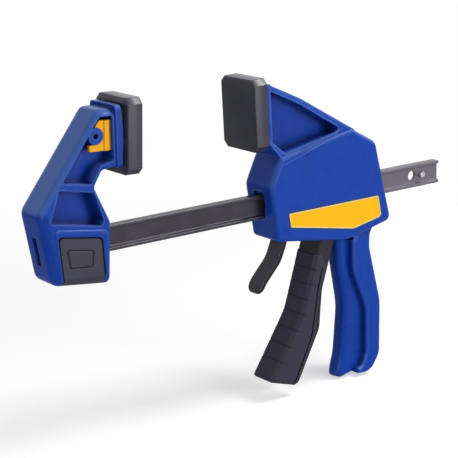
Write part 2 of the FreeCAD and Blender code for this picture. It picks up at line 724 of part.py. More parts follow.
def hollow_jaw_body(body):
    """Cavities of the movable jaw: the brake's in front and the drive's behind, with a rib between."""
    low = -size.housing_drop - size.overrun
    corner = size.cavity_corner
    front = size.brake_cavity_setback
    step_x = size.brake_setback - size.brake_thickness / 2 - 2 * size.running_gap
    step_z = size.brake_rise - size.cavity_corner - size.brake_thickness / 2
    back = front + size.brake_cavity
    brake = rounded([(front, low, 0.0), (back, low, 0.0), (back, size.cavity_rise, corner),
                     (step_x, size.cavity_rise, 0.0), (step_x, step_z, 0.0), (front, step_z, corner)])
    width = "sizes.housing_width - 2 * sizes.housing_wall"
    pocket(body, "XZ_Plane", brake, width)
    floor = -size.housing_drop + size.floor_thickness
    drive = rounded([(drive_front, floor, 0.0), (drive_rear, floor, corner),
                     (drive_rear, size.cavity_rise, corner), (drive_front, size.cavity_rise, corner)])
    pocket(body, "XZ_Plane", drive, width)


def add_handle(body):
    """Handle: a web that the trigger's channel nests round, and a wider strip behind it for the palm."""
    for shares, width, unit in ((HANDLE_WEB_SHARES, "sizes.handle_web", size.handle_web_round),
                                (HANDLE_STRIP_SHARES, "sizes.handle_strip", size.handle_strip_round)):
        outline = rounded([(size.handle_setback + along * size.handle_depth,
                            -size.handle_top - down * size.handle_length, radius * unit)
                           for along, down, radius in shares])
        pad(body, "XZ_Plane", outline, width)
    front = size.handle_setback + HANDLE_FRONT_SHARE * size.handle_depth
    low = -size.housing_drop
    fillet(body, lambda edge: abs(abs(middle_of(edge).y) - size.handle_web / 2) < TOLERANCE
           and middle_of(edge).z < low and middle_of(edge).x < front, "sizes.handle_web_round")
    fillet(body, lambda edge: abs(abs(middle_of(edge).y) - size.handle_strip / 2) < TOLERANCE
           and middle_of(edge).z < low and abs(middle_of(edge).x - front) > size.handle_edge, "sizes.handle_edge")


def open_jaw_body(body):
    """Openings in the movable jaw: the bar's way through, the trigger's way out, badge recesses, pin bore."""
    gap = size.running_gap
    left = size.housing_setback - size.overrun
    window = rectangle(-size.bar_width / 2 - gap, size.bar_width / 2 + gap, -size.bar_height / 2 - gap,
                       size.bar_height / 2 + gap)
    pocket(body, "YZ_Plane", window, "sizes.housing_length + 3 * sizes.overrun", left, backwards=True)
    lip = gap + size.window_lip
    recess = rectangle(-size.bar_width / 2 - lip, size.bar_width / 2 + lip, -size.bar_height / 2 - lip,
                       size.bar_height / 2 + lip, size.cavity_corner)
    pocket(body, "YZ_Plane", recess, "sizes.window_recess + sizes.overrun", left, backwards=True)
    low = -size.housing_drop - size.overrun
    floor = -size.housing_drop + size.floor_thickness
    mouth = rectangle(drive_front + size.overrun, size.handle_setback + gap, low, floor + size.overrun)
    pocket(body, "XZ_Plane", mouth, "sizes.housing_width - 2 * sizes.housing_wall")
    way = rectangle(size.handle_setback, size.trigger_way, low, floor + size.overrun)
    slot = pocket(body, "XZ_Plane", way,
                  "(sizes.housing_width - sizes.handle_web) / 2 - sizes.housing_wall",
                  size.housing_width / 2 - size.housing_wall)
    both_sides(body, slot)
    half = size.housing_width / 2
    badge = rounded(badge_points())
    recess = pocket(body, "XZ_Plane", badge, "sizes.badge_recess + sizes.overrun", half + size.overrun)
    both_sides(body, recess)
    pivot = circle(size.trigger_setback, pin_rise, size.trigger_pin / 2)
    pocket(body, "XZ_Plane", pivot, "sizes.housing_width - sizes.badge_recess - sizes.housing_wall / 2",
           half - size.badge_recess - size.housing_wall / 2)


def badge_points():
    """Corners of the bare badge panels on the movable jaw's sides."""
    return [(size.badge_setback + along * size.badge_length, -size.badge_drop - down * size.badge_height,
             size.cavity_corner / 2) for along, down in BADGE_SHARES]


def make_badge(name, side):
    """Thin bare panel let into the housing's side: the near one looks towards -Y, the far one towards +Y."""
    body = start_body(name)
    inside = size.housing_width / 2 - size.badge_recess
    outline = rounded(grown(badge_points(), -size.seat_gap))
    pad(body, "XZ_Plane", outline, "sizes.badge_thickness", -side * inside, backwards=side > 0)
    outside = side * (inside + size.badge_thickness)
    chamfer(body, lambda edge: abs(middle_of(edge).y - outside) < TOLERANCE, "sizes.badge_recess / 2")
    return body


def make_trigger_pin():
    """Pin the trigger swings on: it goes in from the far side and stops short of the near one."""
    pin = doc.addObject("Part::Cylinder", "trigger_pin")
    pin.Label = "trigger_pin"
    pin.setExpression("Radius", "sizes.trigger_pin / 2")
    pin.setExpression("Height", "sizes.housing_width - sizes.badge_recess - sizes.housing_wall / 2")
    pin.Placement = FreeCAD.Placement(
        Vector(size.trigger_setback, size.housing_width / 2, pin_rise - size.throat), FreeCAD.Rotation(X_AXIS, 90))
    return pin


def trigger_point(along, down, radius=0.0):
    """Place in the trigger's side view: shares of its reach and drop from the pin, and a corner radius."""
    return (size.trigger_setback + along * size.trigger_reach, pin_rise - down * size.trigger_drop,
            radius * size.handle_strip_round)


def trigger_front(offset):
    """Front edge of the trigger from the pin down, moved back by offset."""
    return [(x + offset, z, radius) for x, z, radius in
            (trigger_point(*shares) for shares in TRIGGER_FRONT_SHARES)]


def make_trigger_core():
    """Trigger: two arms beside the bar that meet in a channel, nosed to push the drive plates."""
    body = start_body("trigger_core")
    boss = size.trigger_boss / 2
    nose_x = size.trigger_setback + size.nose_reach
    x, top = size.trigger_setback, pin_rise
    lower_front = trigger_front(size.grip_thickness)
    rear = [trigger_point(*shares) for shares in TRIGGER_REAR_SHARES]
    outline = ([(x - boss, top + boss, boss - TOLERANCE)] + lower_front + rear
               + [(nose_x - boss / 2, -size.nose_drop - boss / 2, boss / 3), (nose_x, -size.nose_drop, boss / 3),
                  (x + boss, boss / 2, boss), (x + boss, top + boss, boss - TOLERANCE)])
    pad(body, "XZ_Plane", rounded(outline), "sizes.trigger_width")
    chamfer(body, lambda edge: abs(middle_of(edge).z) > size.housing_drop and middle_of(edge).x < size.brake_setback
            and abs(abs(middle_of(edge).y) - size.trigger_width / 2) < TOLERANCE, "sizes.trigger_wall / 2")
    wall = size.grip_thickness + size.trigger_wall
    front = trigger_front(wall)
    toe = Vector(*front[2][:2], 0)
    heel = Vector(*rear[0][:2], 0)
    rise = Vector(0, size.trigger_wall, 0)
    open_from = toe + (heel - toe) * HEEL_SHARE
    outside = size.handle_setback + size.handle_depth
    channel = ([(x - 2 * boss, top + 2 * boss, 0.0), (front[0][0] - boss, size.bar_height, 0.0)] + front[0:2]
               + [(toe.x, toe.y + size.trigger_wall, 0.0), (*(open_from + rise)[:2], 0.0),
                  (open_from.x, heel.y - size.overrun, 0.0), (outside, heel.y - size.overrun, 0.0),
                  (outside, top + 2 * boss, 0.0)])
    pocket(body, "XZ_Plane", rounded(channel), "sizes.trigger_channel")
    pocket(body, "XZ_Plane", circle(x, top, size.trigger_pin / 2 + size.seat_gap), "2 * sizes.trigger_width")
    return body


def make_trigger_grip():
    """Soft grip that wraps the trigger's front and sides."""
    body = start_body("trigger_grip")
    front = trigger_front(0.0)
    rear = [trigger_point(*shares) for shares in GRIP_REAR_SHARES]
    (x0, z0, _), (x1, z1, radius) = front[0], front[1]
    start_z = rear[-1][1]
    start_x = x0 + (x1 - x0) * (start_z - z0) / (z1 - z0)
    front = [(start_x, start_z, size.grip_thickness)] + front[1:]
    pad(body, "XZ_Plane", rounded(front + rear), "sizes.trigger_width + 2 * sizes.grip_proud")
    chamfer(body, lambda edge: abs(abs(middle_of(edge).y) - size.trigger_width / 2 - size.grip_proud) < TOLERANCE,
            "sizes.grip_thickness / 3")
    gap = size.seat_gap
    inner = trigger_front(size.grip_thickness - gap)
    hollow = [inner[0], inner[1], (inner[2][0] - gap, inner[2][1], 0.0), (inner[3][0] - gap, inner[3][1], 0.0)]
    bottom = rear[0]
    hollow += [(bottom[0], bottom[1] - size.overrun, 0.0),
               (inner[0][0] + size.housing_width, bottom[1] - size.overrun, 0.0),
               (inner[0][0] + size.housing_width, inner[0][1], 0.0)]
    pocket(body, "XZ_Plane", rounded(hollow), "sizes.trigger_width + 2 * sizes.seat_gap")
    return body


def plate_window(thickness, lean):
    """Height of a window that clears the bar in a plate of this thickness leaning by this much."""
    turn = math.radians(lean)
    return (size.bar_height + 2 * size.running_gap + thickness * math.sin(turn)) / math.cos(turn)


def make_drive_plate(name, index):
    """Drive plate: hardened plate with a window for the bar, leaned until the trigger's nose pushes it."""
    pitch = size.plate_thickness / math.cos(math.radians(size.plate_lean))
    first = (size.trigger_setback + size.nose_reach + size.running_gap
             - size.nose_drop * math.tan(math.radians(size.plate_lean)))
    body = start_body(name, first + index * (pitch + size.seat_gap / 2), 0.0, -size.plate_lean)
    pad(body, "YZ_Plane", rectangle(-size.plate_width / 2, size.plate_width / 2, -size.plate_height / 2,
                                    size.plate_height / 2, size.bar_lip), "sizes.plate_thickness", 0.0)
    high = plate_window(size.plate_thickness, size.plate_lean)
    wide = size.bar_width + 2 * size.running_gap
    pocket(body, "YZ_Plane", rectangle(-wide / 2, wide / 2, -high / 2, high / 2),
           "sizes.plate_thickness + 2 * sizes.overrun", size.plate_thickness + size.overrun)
    return body


def helix_point(radius, pitch, turn):
    """Place and direction on a helix about X, turn revolutions from its start."""
    angle = 2 * math.pi * turn
    place = Vector(pitch * turn, radius * math.cos(angle), radius * math.sin(angle))
    heading = Vector(pitch / (2 * math.pi), -radius * math.sin(angle), radius * math.cos(angle)).normalize()
    return place, heading


def tangent_arc(start, heading, end):
    """Arc from start along heading to end."""
    chord = end - start
    middle = start + chord * 0.5
    side = heading - chord * (heading.dot(chord) / chord.dot(chord))
    angle = heading.getAngle(chord)
    return Part.Arc(start, middle + side.normalize() * (chord.Length / 2 * math.tan(angle / 2)), end).toShape()


def biarc(start, heading, end, ending):
    """Two arcs that leave start along heading and reach end along ending."""
    chord = end - start
    both = chord.dot(heading + ending)
    spread = 2 * (1 - heading.dot(ending))
    reach = (math.sqrt(both * both + spread * chord.dot(chord)) - both) / spread
    joint = (start + end + (heading - ending) * reach) * 0.5
    first = tangent_arc(start, heading, joint)
    return [first, tangent_arc(joint, heading_at(joint, start, heading), end)]


def heading_at(joint, start, heading):
    """Direction in which the arc that leaves start along heading reaches joint."""
    chord = joint - start
    return (chord * (2 * heading.dot(chord) / chord.dot(chord)) - heading).normalize()


def wire_corners(centre, heading, radius):
    """Corners of the wire's four-sided section, the last one the same as the first."""
    out = Vector(0, centre.y, centre.z).normalize()
    across = heading.cross(out)
    turns = [math.radians(360 / WIRE_SIDES * step) for step in range(WIRE_SIDES)]
    corners = [centre + out * (radius * math.cos(turn)) + across * (radius * math.sin(turn)) for turn in turns]
    return corners + corners[:1]


def make_spring(name, length, radius, wire, turns, placement):
    """Helical spring of one unbroken wire about its own X axis, then placed."""
    pitch = (length - wire) / turns
    edges = []
    for step in range(turns * ARCS_TO_A_TURN):
        start, heading = helix_point(radius, pitch, step / ARCS_TO_A_TURN)
        end, ending = helix_point(radius, pitch, (step + 1) / ARCS_TO_A_TURN)
        edges += biarc(start, heading, end, ending)
    path = Part.Wire(edges)
    start, heading = helix_point(radius, pitch, 0)
    section = Part.makePolygon(wire_corners(start, heading, wire / 2))
    coil = path.makePipeShell([section], True, False)
    feature = doc.addObject("Part::Feature", name)
    feature.Label = name
    feature.Shape = coil
    feature.Placement = placement * FreeCAD.Placement(Vector(wire / 2, 0, 0), FreeCAD.Rotation())
    print(name, "gap between turns", round(pitch - wire, 2))
    return feature


def make_brake_plate():
    """Brake plate: grips the bar at its lean, and hangs from the step in front of it."""
    body = start_body("brake_plate", size.brake_setback, size.brake_rise, size.brake_lean)
    foot = -size.brake_rise - size.brake_foot
    half = size.brake_thickness / 2
    pad(body, "YZ_Plane", rectangle(-size.brake_width / 2, size.brake_width / 2, foot, size.brake_head),
        "sizes.brake_thickness", -half)
    pad(body, "YZ_Plane", rectangle(-size.brake_tongue / 2, size.brake_tongue / 2, foot - size.tongue_length,
                                    foot + size.overrun), "sizes.brake_thickness", -half)
    fillet(body, lambda edge: runs_along(edge, Y_AXIS) and edge.Length > size.brake_tongue + size.seat_gap
           and middle_of(edge).z > 0, "sizes.brake_head")
    high = plate_window(size.brake_thickness, size.brake_lean)
    wide = size.bar_width + 2 * size.running_gap
    middle = -size.brake_rise / math.cos(math.radians(size.brake_lean / 2))
    pocket(body, "YZ_Plane", rectangle(-wide / 2, wide / 2, middle - high / 2, middle + high / 2),
           "sizes.brake_thickness + 2 * sizes.overrun", half + size.overrun)
    return body


def make_release_lever():
    """Release lever: a socket on the brake plate's tongue, and a curved blade that reaches forward and down."""
    body = start_body("release_lever")
    start = size.brake_setback - size.lever_socket / 2
    front = [(start + along * size.lever_reach, -down * size.lever_drop, radius * size.lever_round)
             for along, down, radius in LEVER_FRONT_SHARES]
    thick = size.lever_thickness
    rear = [(x + thick, z - thick / 2, radius) for x, z, radius in reversed(front)]
    rear[-1] = (rear[-1][0], front[0][1], 0.0)
    pad(body, "XZ_Plane", rounded(front + rear), "sizes.lever_width")
    tip_z = front[-1][1]
    fillet(body, lambda edge: abs(edge.Vertexes[0].Point.z - tip_z) < thick and edge.Length < 2 * thick
           and not runs_along(edge, Y_AXIS), "sizes.lever_tip")
    head_top = -size.brake_foot + LEVER_HEAD_SHARE * size.lever_head
    head = rectangle(front[0][0] - thick, front[0][0] + size.lever_head - thick, head_top - size.lever_head,
                     head_top, size.bar_lip / 2)
    pad(body, "XZ_Plane", head, "sizes.lever_width")
    half = size.brake_thickness / 2 + size.seat_gap
    pivot = (size.brake_setback, size.brake_rise)
    tip = -size.brake_foot - size.tongue_length - size.seat_gap
    slot = leaned([(pivot[0] - half, tip, 0.0), (pivot[0] + half, tip, 0.0), (pivot[0] + half, 0.0, 0.0),
                   (pivot[0] - half, 0.0, 0.0)], pivot, size.brake_lean)
    pocket(body, "XZ_Plane", rounded(slot), "sizes.brake_tongue + 2 * sizes.seat_gap")
    foot = -size.brake_foot - size.seat_gap
    notch = leaned([(pivot[0] - half, foot, 0.0), (pivot[0] + half, foot, 0.0), (pivot[0] + half, 0.0, 0.0),
                    (pivot[0] - half, 0.0, 0.0)], pivot, size.brake_lean)
    pocket(body, "XZ_Plane", rounded(notch), "2 * sizes.lever_width")
    return body


def make_springs():
    """The three springs: drive plates to rear wall, brake plate to rib, and button to latch block."""
    gap = size.seat_gap
    lift = -size.throat
    plates_end = (size.trigger_setback + size.nose_reach + 2 * size.plate_thickness + 2 * size.running_gap
                  + size.spring_radius * math.tan(math.radians(size.plate_lean)))
    drive = make_spring("drive_spring", drive_rear - gap - plates_end, size.spring_radius, size.spring_wire,
                        int(size.spring_turns),
                        FreeCAD.Placement(Vector(plates_end, 0, lift), FreeCAD.Rotation(X_AXIS, 0)))
    rib = size.brake_cavity_setback + size.brake_cavity
    brake_end = size.brake_setback + size.brake_thickness / 2 + 2 * size.running_gap
    brake = make_spring("brake_spring", rib - gap - brake_end, size.spring_radius, size.spring_wire,
                        int(size.brake_spring_turns),
                        FreeCAD.Placement(Vector(brake_end, 0, lift), FreeCAD.Rotation(X_AXIS, 0)))
    spring_x, spring_z = button_spring_place()
    back = size.fixed_jaw_width / 2 + 2 * size.latch_proud - size.button_thickness - gap
    floor = size.bar_width / 2 + size.button_wall + size.latch_proud + gap
    button = make_spring("button_spring", back - floor, size.button_spring_radius, size.button_spring_wire,
                         int(size.button_spring_turns),
                         FreeCAD.Placement(Vector(spring_x, -back, spring_z - size.throat),
                                           FreeCAD.Rotation(Vector(0, 0, 1), 90)))
    return [drive, brake, button]


def make_all():
    """Build every piece and return them in the order that they go together."""
    pieces = [
        make_bar(), make_stop_pin(), make_fixed_jaw(), make_latch_block(), make_push_button(), make_latch_pin(),
        make_pad_carrier(), make_swivel_pad(), make_jaw_body(), make_badge("badge_near", -1),
        make_badge("badge_far", 1), make_moving_pad(), make_trigger_pin(), make_trigger_core(),
        make_trigger_grip(), make_brake_plate(), make_release_lever(),
    ]
    pieces += [make_drive_plate(f"drive_plate_{index + 1}", index) for index in range(2)]
    return pieces + make_springs()


def check(pieces):
    """Stop if any object of the document failed, or any piece is not one sound solid."""
    failed = [item.Name for item in doc.Objects if "Invalid" in item.State or "Error" in item.State]
    if failed:
        raise RuntimeError(f"failed objects: {failed}")
    for piece in pieces:
        if piece.Shape.isNull() or not piece.Shape.isValid() or len(piece.Shape.Solids) != 1:
            raise RuntimeError(f"unsound shape: {piece.Label}")


def main():
    """Build, check and write one file for each piece."""
    pieces = make_all()
    doc.recompute()
    check(pieces)
    os.makedirs("parts", exist_ok=True)
    for piece in pieces:
        piece.Shape.exportStep(os.path.join("parts", piece.Label + ".step"))
        print(piece.Label, round(piece.Shape.Volume))


main()
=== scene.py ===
"""Looks of the quick release bar clamp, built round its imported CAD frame."""

import logging
import math
from dataclasses import dataclass, field, replace
from enum import Enum
from functools import cache

import bmesh
import bpy
from mathutils import Matrix, Vector


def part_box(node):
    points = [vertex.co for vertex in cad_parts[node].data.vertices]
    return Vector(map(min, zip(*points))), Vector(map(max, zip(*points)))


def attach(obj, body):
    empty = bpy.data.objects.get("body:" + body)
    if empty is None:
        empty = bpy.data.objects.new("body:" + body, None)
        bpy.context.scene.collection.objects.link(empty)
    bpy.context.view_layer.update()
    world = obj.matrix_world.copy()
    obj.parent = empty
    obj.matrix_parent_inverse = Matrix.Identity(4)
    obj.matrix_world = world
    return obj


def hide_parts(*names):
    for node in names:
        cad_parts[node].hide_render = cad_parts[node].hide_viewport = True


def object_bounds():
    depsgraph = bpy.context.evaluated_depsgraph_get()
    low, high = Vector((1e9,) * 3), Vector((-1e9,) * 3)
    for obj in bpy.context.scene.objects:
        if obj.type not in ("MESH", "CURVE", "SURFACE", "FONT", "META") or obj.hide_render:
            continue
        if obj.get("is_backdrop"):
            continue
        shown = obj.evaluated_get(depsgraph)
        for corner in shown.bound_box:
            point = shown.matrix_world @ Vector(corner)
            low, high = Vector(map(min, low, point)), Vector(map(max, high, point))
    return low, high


Colour = tuple[float, float, float]
Point = tuple[float, float, float]
Outline = tuple[tuple[float, float], ...]

NEAR = 1e-6
TOUCHING = 1e-5
FLOOR_GAP = 0.0002
SMOOTH_BELOW = math.radians(32)

log = logging.getLogger("clamp")
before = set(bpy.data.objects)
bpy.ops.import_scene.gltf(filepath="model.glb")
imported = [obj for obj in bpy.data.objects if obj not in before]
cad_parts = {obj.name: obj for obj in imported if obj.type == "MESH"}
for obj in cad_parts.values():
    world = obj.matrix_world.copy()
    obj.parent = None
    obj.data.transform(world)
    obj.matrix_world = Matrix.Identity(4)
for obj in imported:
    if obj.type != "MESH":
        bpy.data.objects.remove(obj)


class Side(Enum):
    """Side of the clamp: the near one carries the push button."""

    NEAR = -1.0
    FAR = 1.0


class Facing(Enum):
    """Way a jaw pad's back points along the bar."""

    TO_FREE_END = 1.0
    TO_FIXED_END = -1.0


class Board:
    """A node tree with short ways to add nodes and join them."""

    def __init__(self, tree: bpy.types.NodeTree) -> None:
        """Keeps the tree.

        Args:
            tree: The node tree that is filled.
        """
        self.tree = tree

    def add(self, kind: str, inputs: dict[str | int, object] | None = None, **settings: object) -> bpy.types.Node:
        """Adds one node.

        Args:
            kind: The node's type, without its ShaderNode prefix.
            inputs: A value or a socket to link for each named input.
            settings: Attributes set on the node before its inputs.

        Returns:
            The new node.
        """
        prefix = "" if kind.startswith("Node") else "ShaderNode"
        node = self.tree.nodes.new(prefix + kind)
        for name, value in settings.items():
            setattr(node, name, value)
        for name, value in (inputs or {}).items():
            if isinstance(value, bpy.types.NodeSocket):
                self.tree.links.new(value, node.inputs[name])
            else:
                node.inputs[name].default_value = value
        return node

    def ramp(self, source: bpy.types.NodeSocket, low: float, high: float, start: float = 0.0,
             end: float = 1.0) -> bpy.types.NodeSocket:
        """Maps a value's range onto another, clamped.

        Args:
            source: The value.
            low: Where the source range starts.
            high: Where it ends.
            start: The result at low.
            end: The result at high.

        Returns:
            The mapped value's socket.
        """
        node = self.add("MapRange", {"Value": source, "From Min": low, "From Max": high, "To Min": start,
                                     "To Max": end})
        return node.outputs["Result"]

    def math(self, operation: str, *values: object) -> bpy.types.NodeSocket:
        """Adds a Math node.

        Args:
            operation: The operation's name.
            values: Numbers or sockets, in order.

        Returns:
            The result's socket.
        """
        node = self.add("Math", dict(enumerate(values)), operation=operation)
        return node.outputs[0]

    def mix(self, share: object, first: object, second: object) -> bpy.types.NodeSocket:
        """Mixes two colours.

        Args:
            share: Part of the second colour, a number or a socket.
            first: A colour or a socket.
            second: A colour or a socket.

        Returns:
            The mixed colour's socket.
        """
        node = self.add("Mix", {0: share, 6: first, 7: second}, data_type="RGBA")
        return node.outputs[2]


class Effects:
    """Node groups that several finishes share, each built once."""

    @staticmethod
    def start(name: str, inputs: dict[str, tuple[str, object]], outputs: dict[str, str]) -> Board:
        """Makes an empty group with its sockets.

        Args:
            name: The group's name.
            inputs: Kind and default of each input.
            outputs: Kind of each output.

        Returns:
            A board over the new group.
        """
        tree = bpy.data.node_groups.new(name, "ShaderNodeTree")
        for label, (kind, default) in inputs.items():
            tree.interface.new_socket(label, in_out="INPUT", socket_type="NodeSocket" + kind).default_value = default
        for label, kind in outputs.items():
            tree.interface.new_socket(label, in_out="OUTPUT", socket_type="NodeSocket" + kind)
        return Board(tree)

    @classmethod
    @cache
    def edge_mask(cls) -> bpy.types.NodeTree:
        """Group that finds outside edges.

        Returns:
            The group, with inputs Radius and Raggedness and outputs Mask and Normal.
        """
        board = cls.start("edge_mask", {"Radius": ("Float", 0.0006), "Raggedness": ("Float", 0.5)},
                          {"Mask": "Float", "Normal": "Vector"})
        given = board.add("NodeGroupInput").outputs
        rounded = board.add("Bevel", {"Radius": given["Radius"]}, samples=6).outputs["Normal"]
        flat = board.add("NewGeometry").outputs["Normal"]
        agree = board.add("VectorMath", {0: rounded, 1: flat}, operation="DOT_PRODUCT").outputs["Value"]
        edge = board.ramp(agree, 0.985, 0.80)
        place = board.add("TexCoord").outputs["Object"]
        patches = board.add("TexNoise", {"Vector": place, "Scale": 160.0, "Detail": 4.0}).outputs["Fac"]
        torn = board.ramp(patches, 0.35, 0.65)
        kept = board.math("SUBTRACT", 1.0, board.math("MULTIPLY", torn, given["Raggedness"]))
        ends = board.add("NodeGroupOutput").inputs
        board.tree.links.new(board.math("MULTIPLY", edge, kept), ends["Mask"])
        board.tree.links.new(rounded, ends["Normal"])
        return board.tree

    @classmethod
    @cache
    def ridge_highlight_mask(cls) -> bpy.types.NodeTree:
        """Group that finds rounded ridges and thin rims, where a painted highlight goes on a moulding.

        Returns:
            The group, with inputs Reach, Upward and Crest and output Mask; Crest is the wider reach on what
            faces up.
        """
        board = cls.start("ridge_highlight_mask", {"Reach": ("Float", 0.0024), "Upward": ("Float", 0.0),
                                         "Crest": ("Float", 0.0)}, {"Mask": "Float"})
        given = board.add("NodeGroupInput").outputs
        within = board.add("AmbientOcclusion", {"Distance": given["Reach"]}, samples=8, only_local=True, inside=True)
        ridge = board.ramp(within.outputs["AO"], 0.97, 0.78)
        normal = board.add("TexCoord").outputs["Normal"]
        height = board.add("SeparateXYZ", {0: normal}).outputs["Z"]
        # Painted highlight: Upward keeps it to ridges that face up, and Crest spreads it wider on rounds that face up,
        # where light from above falls.
        favoured = board.math("SUBTRACT", 1.0, board.math("MULTIPLY", board.ramp(height, 0.60, -0.20), given["Upward"]))
        deeper = board.add("AmbientOcclusion", {"Distance": given["Crest"]}, samples=8, only_local=True, inside=True)
        crest = board.math("MULTIPLY", board.ramp(deeper.outputs["AO"], 0.97, 0.70), board.ramp(height, 0.15, 0.55))
        both = board.math("MAXIMUM", board.math("MULTIPLY", ridge, favoured), crest)
        board.tree.links.new(both, board.add("NodeGroupOutput").inputs["Mask"])
        return board.tree

    @classmethod
    @cache
    def hollow_shade(cls) -> bpy.types.NodeTree:
        """Group that finds hollows, where it paints shade.

        Returns:
            The group, with inputs Reach and Depth and output Shade.
        """
        board = cls.start("hollow_shade", {"Reach": ("Float", 0.012), "Depth": ("Float", 0.5)}, {"Shade": "Float"})
        given = board.add("NodeGroupInput").outputs
        open_air = board.add("AmbientOcclusion", {"Distance": given["Reach"]}, samples=6, only_local=True)
        hollow = board.ramp(open_air.outputs["AO"], 0.88, 0.35)
        shade = board.math("SUBTRACT", 1.0, board.math("MULTIPLY", hollow, given["Depth"]))
        board.tree.links.new(shade, board.add("NodeGroupOutput").inputs["Shade"])
        return board.tree

    @classmethod
    @cache
    def uneven_tone(cls) -> bpy.types.NodeTree:
        """Group that varies a colour softly over a surface, as moulded and rolled parts do.

        Returns:
            The group, with inputs Colour, Amount and Size and outputs Colour and Cloud.
        """
        board = cls.start("uneven_tone", {"Colour": ("Color", (0.5, 0.5, 0.5, 1.0)), "Amount": ("Float", 0.1),
                                          "Size": ("Float", 30.0)}, {"Colour": "Color", "Cloud": "Float"})
        given = board.add("NodeGroupInput").outputs
        place = board.add("TexCoord").outputs["Object"]
        cloud = board.add("TexNoise", {"Vector": place, "Scale": given["Size"], "Detail": 3.0}).outputs["Fac"]
        spread = board.ramp(cloud, 0.3, 0.7)
        factor = board.math("ADD", 1.0, board.math("MULTIPLY", given["Amount"], board.math("SUBTRACT", spread, 0.5)))
        tinted = board.add("VectorMath", {0: given["Colour"], "Scale": factor}, operation="SCALE").outputs["Vector"]
        ends = board.add("NodeGroupOutput").inputs
        board.tree.links.new(tinted, ends["Colour"])
        board.tree.links.new(spread, ends["Cloud"])
        return board.tree

    @classmethod
    @cache
    def grain(cls) -> bpy.types.NodeTree:
        """Group for the fine grain a mould or a mill leaves on a surface.

        Returns:
            The group, with inputs Stretch, Size, Depth and Normal and outputs Normal and Fleck.
        """
        board = cls.start("grain", {"Stretch": ("Vector", (1.0, 1.0, 1.0)), "Size": ("Float", 2500.0),
                                    "Depth": ("Float", 0.00002), "Normal": ("Vector", (0.0, 0.0, 0.0))},
                          {"Normal": "Vector", "Fleck": "Float"})
        given = board.add("NodeGroupInput").outputs
        place = board.add("TexCoord").outputs["Object"]
        drawn = board.add("VectorMath", {0: place, 1: given["Stretch"]}, operation="MULTIPLY").outputs["Vector"]
        fleck = board.add("TexNoise", {"Vector": drawn, "Scale": given["Size"], "Detail": 2.0}).outputs["Fac"]
        bump = board.add("Bump", {"Strength": 1.0, "Distance": given["Depth"], "Height": fleck,
                                  "Normal": given["Normal"]})
        ends = board.add("NodeGroupOutput").inputs
        board.tree.links.new(bump.outputs["Normal"], ends["Normal"])
        board.tree.links.new(fleck, ends["Fleck"])
        return board.tree


@dataclass(frozen=True)
class Finish:
    """A surface finish: base colour, gloss, the grain on it, and the colour painted on its edges, ridges and hollows,
    which is mostly painted highlight and painted shade.
    """

    name: str
    colour: Colour
    roughness: float
    metallic: float = 0.0
    tone: float = 0.12
    tone_size: float = 35.0
    grain_size: float = 1500.0
    grain_depth: float = 0.00002
    stretch: Point = (1.0, 1.0, 1.0)
    edge_radius: float = 0.0006
    edge_colour: Colour = (0.6, 0.6, 0.6)
    edge_share: float = 0.15
    raggedness: float = 0.5
    ridge_share: float = 0.0
    ridge_reach: float = 0.0024
    crest_reach: float = 0.0
    upward: float = 0.0
    hollow_depth: float = 0.0
    hollow_reach: float = 0.012
    specular: float = 0.5
    gloss_spread: float = 0.12
    slotted: bool = True
    slot: str | None = None

    @cache
    def build(self) -> bpy.types.Material:
        """Makes the material, once for all the pieces that share it.

        Returns:
            The material.
        """
        material = bpy.data.materials.new(self.name + "_surface")
        material.use_nodes = True
        board = Board(material.node_tree)
        material.node_tree.nodes.clear()
        shader = board.add("BsdfPrincipled", {"Metallic": self.metallic, "Specular IOR Level": self.specular})
        edge = board.add("Group", {"Radius": self.edge_radius, "Raggedness": self.raggedness},
                         node_tree=Effects.edge_mask())
        tone = board.add("Group", {"Colour": (*self.colour, 1.0), "Amount": self.tone, "Size": self.tone_size},
                         node_tree=Effects.uneven_tone())
        grain = board.add("Group", {"Stretch": self.stretch, "Size": self.grain_size, "Depth": self.grain_depth,
                                    "Normal": edge.outputs["Normal"]}, node_tree=Effects.grain())
        links = board.tree.links
        # The edge colour mixed in on outside edges is a painted highlight on the blue, black, grip, lever and bar
        # finishes, painted shadow on the latch's, and a printed border on the badge's.
        share = board.math("MULTIPLY", edge.outputs["Mask"], self.edge_share)
        # Painted highlight on rounded ridges and rims, more on those that face up.
        if self.ridge_share:
            ridge = board.add("Group", {"Reach": self.ridge_reach, "Crest": self.crest_reach, "Upward": self.upward},
                              node_tree=Effects.ridge_highlight_mask())
            painted_highlight = board.math("MULTIPLY", ridge.outputs["Mask"], self.ridge_share)
            share = board.math("MAXIMUM", share, painted_highlight)
        shade = None
        # Painted shade: darkens the colour in hollows, and keeps the painted edge highlights out of them.
        if self.hollow_depth:
            hollow = board.add("Group", {"Reach": self.hollow_reach, "Depth": self.hollow_depth},
                               node_tree=Effects.hollow_shade())
            shade = hollow.outputs["Shade"]
            share = board.math("MULTIPLY", share, board.math("POWER", shade, 3.0))
        colour = self.tint(board, board.mix(share, tone.outputs["Colour"], (*self.edge_colour, 1.0)))
        if shade:
            colour = board.add("VectorMath", {0: colour, "Scale": shade}, operation="SCALE").outputs["Vector"]
        links.new(colour, shader.inputs["Base Color"])
        rough = board.ramp(board.math("ADD", tone.outputs["Cloud"], grain.outputs["Fleck"]), 0.4, 1.6,
                           self.roughness * (1.0 - self.gloss_spread),
                           min(1.0, self.roughness * (1.0 + self.gloss_spread)))
        links.new(rough, shader.inputs["Roughness"])
        self.relief(board, grain.outputs["Normal"], shader.inputs["Normal"])
        output = board.add("OutputMaterial")
        links.new(shader.outputs["BSDF"], output.inputs["Surface"])
        return material

    def tint(self, board: Board, colour: bpy.types.NodeSocket) -> bpy.types.NodeSocket:
        """Returns the colour as it is; a finish with a pattern changes it here."""
        return colour

    def relief(self, board: Board, normal: bpy.types.NodeSocket, target: bpy.types.NodeSocket) -> None:
        """Joins the grained normal to the shader.

        Args:
            board: The material's board.
            normal: The normal with grain on it.
            target: The shader's normal input.
        """
        board.tree.links.new(normal, target)


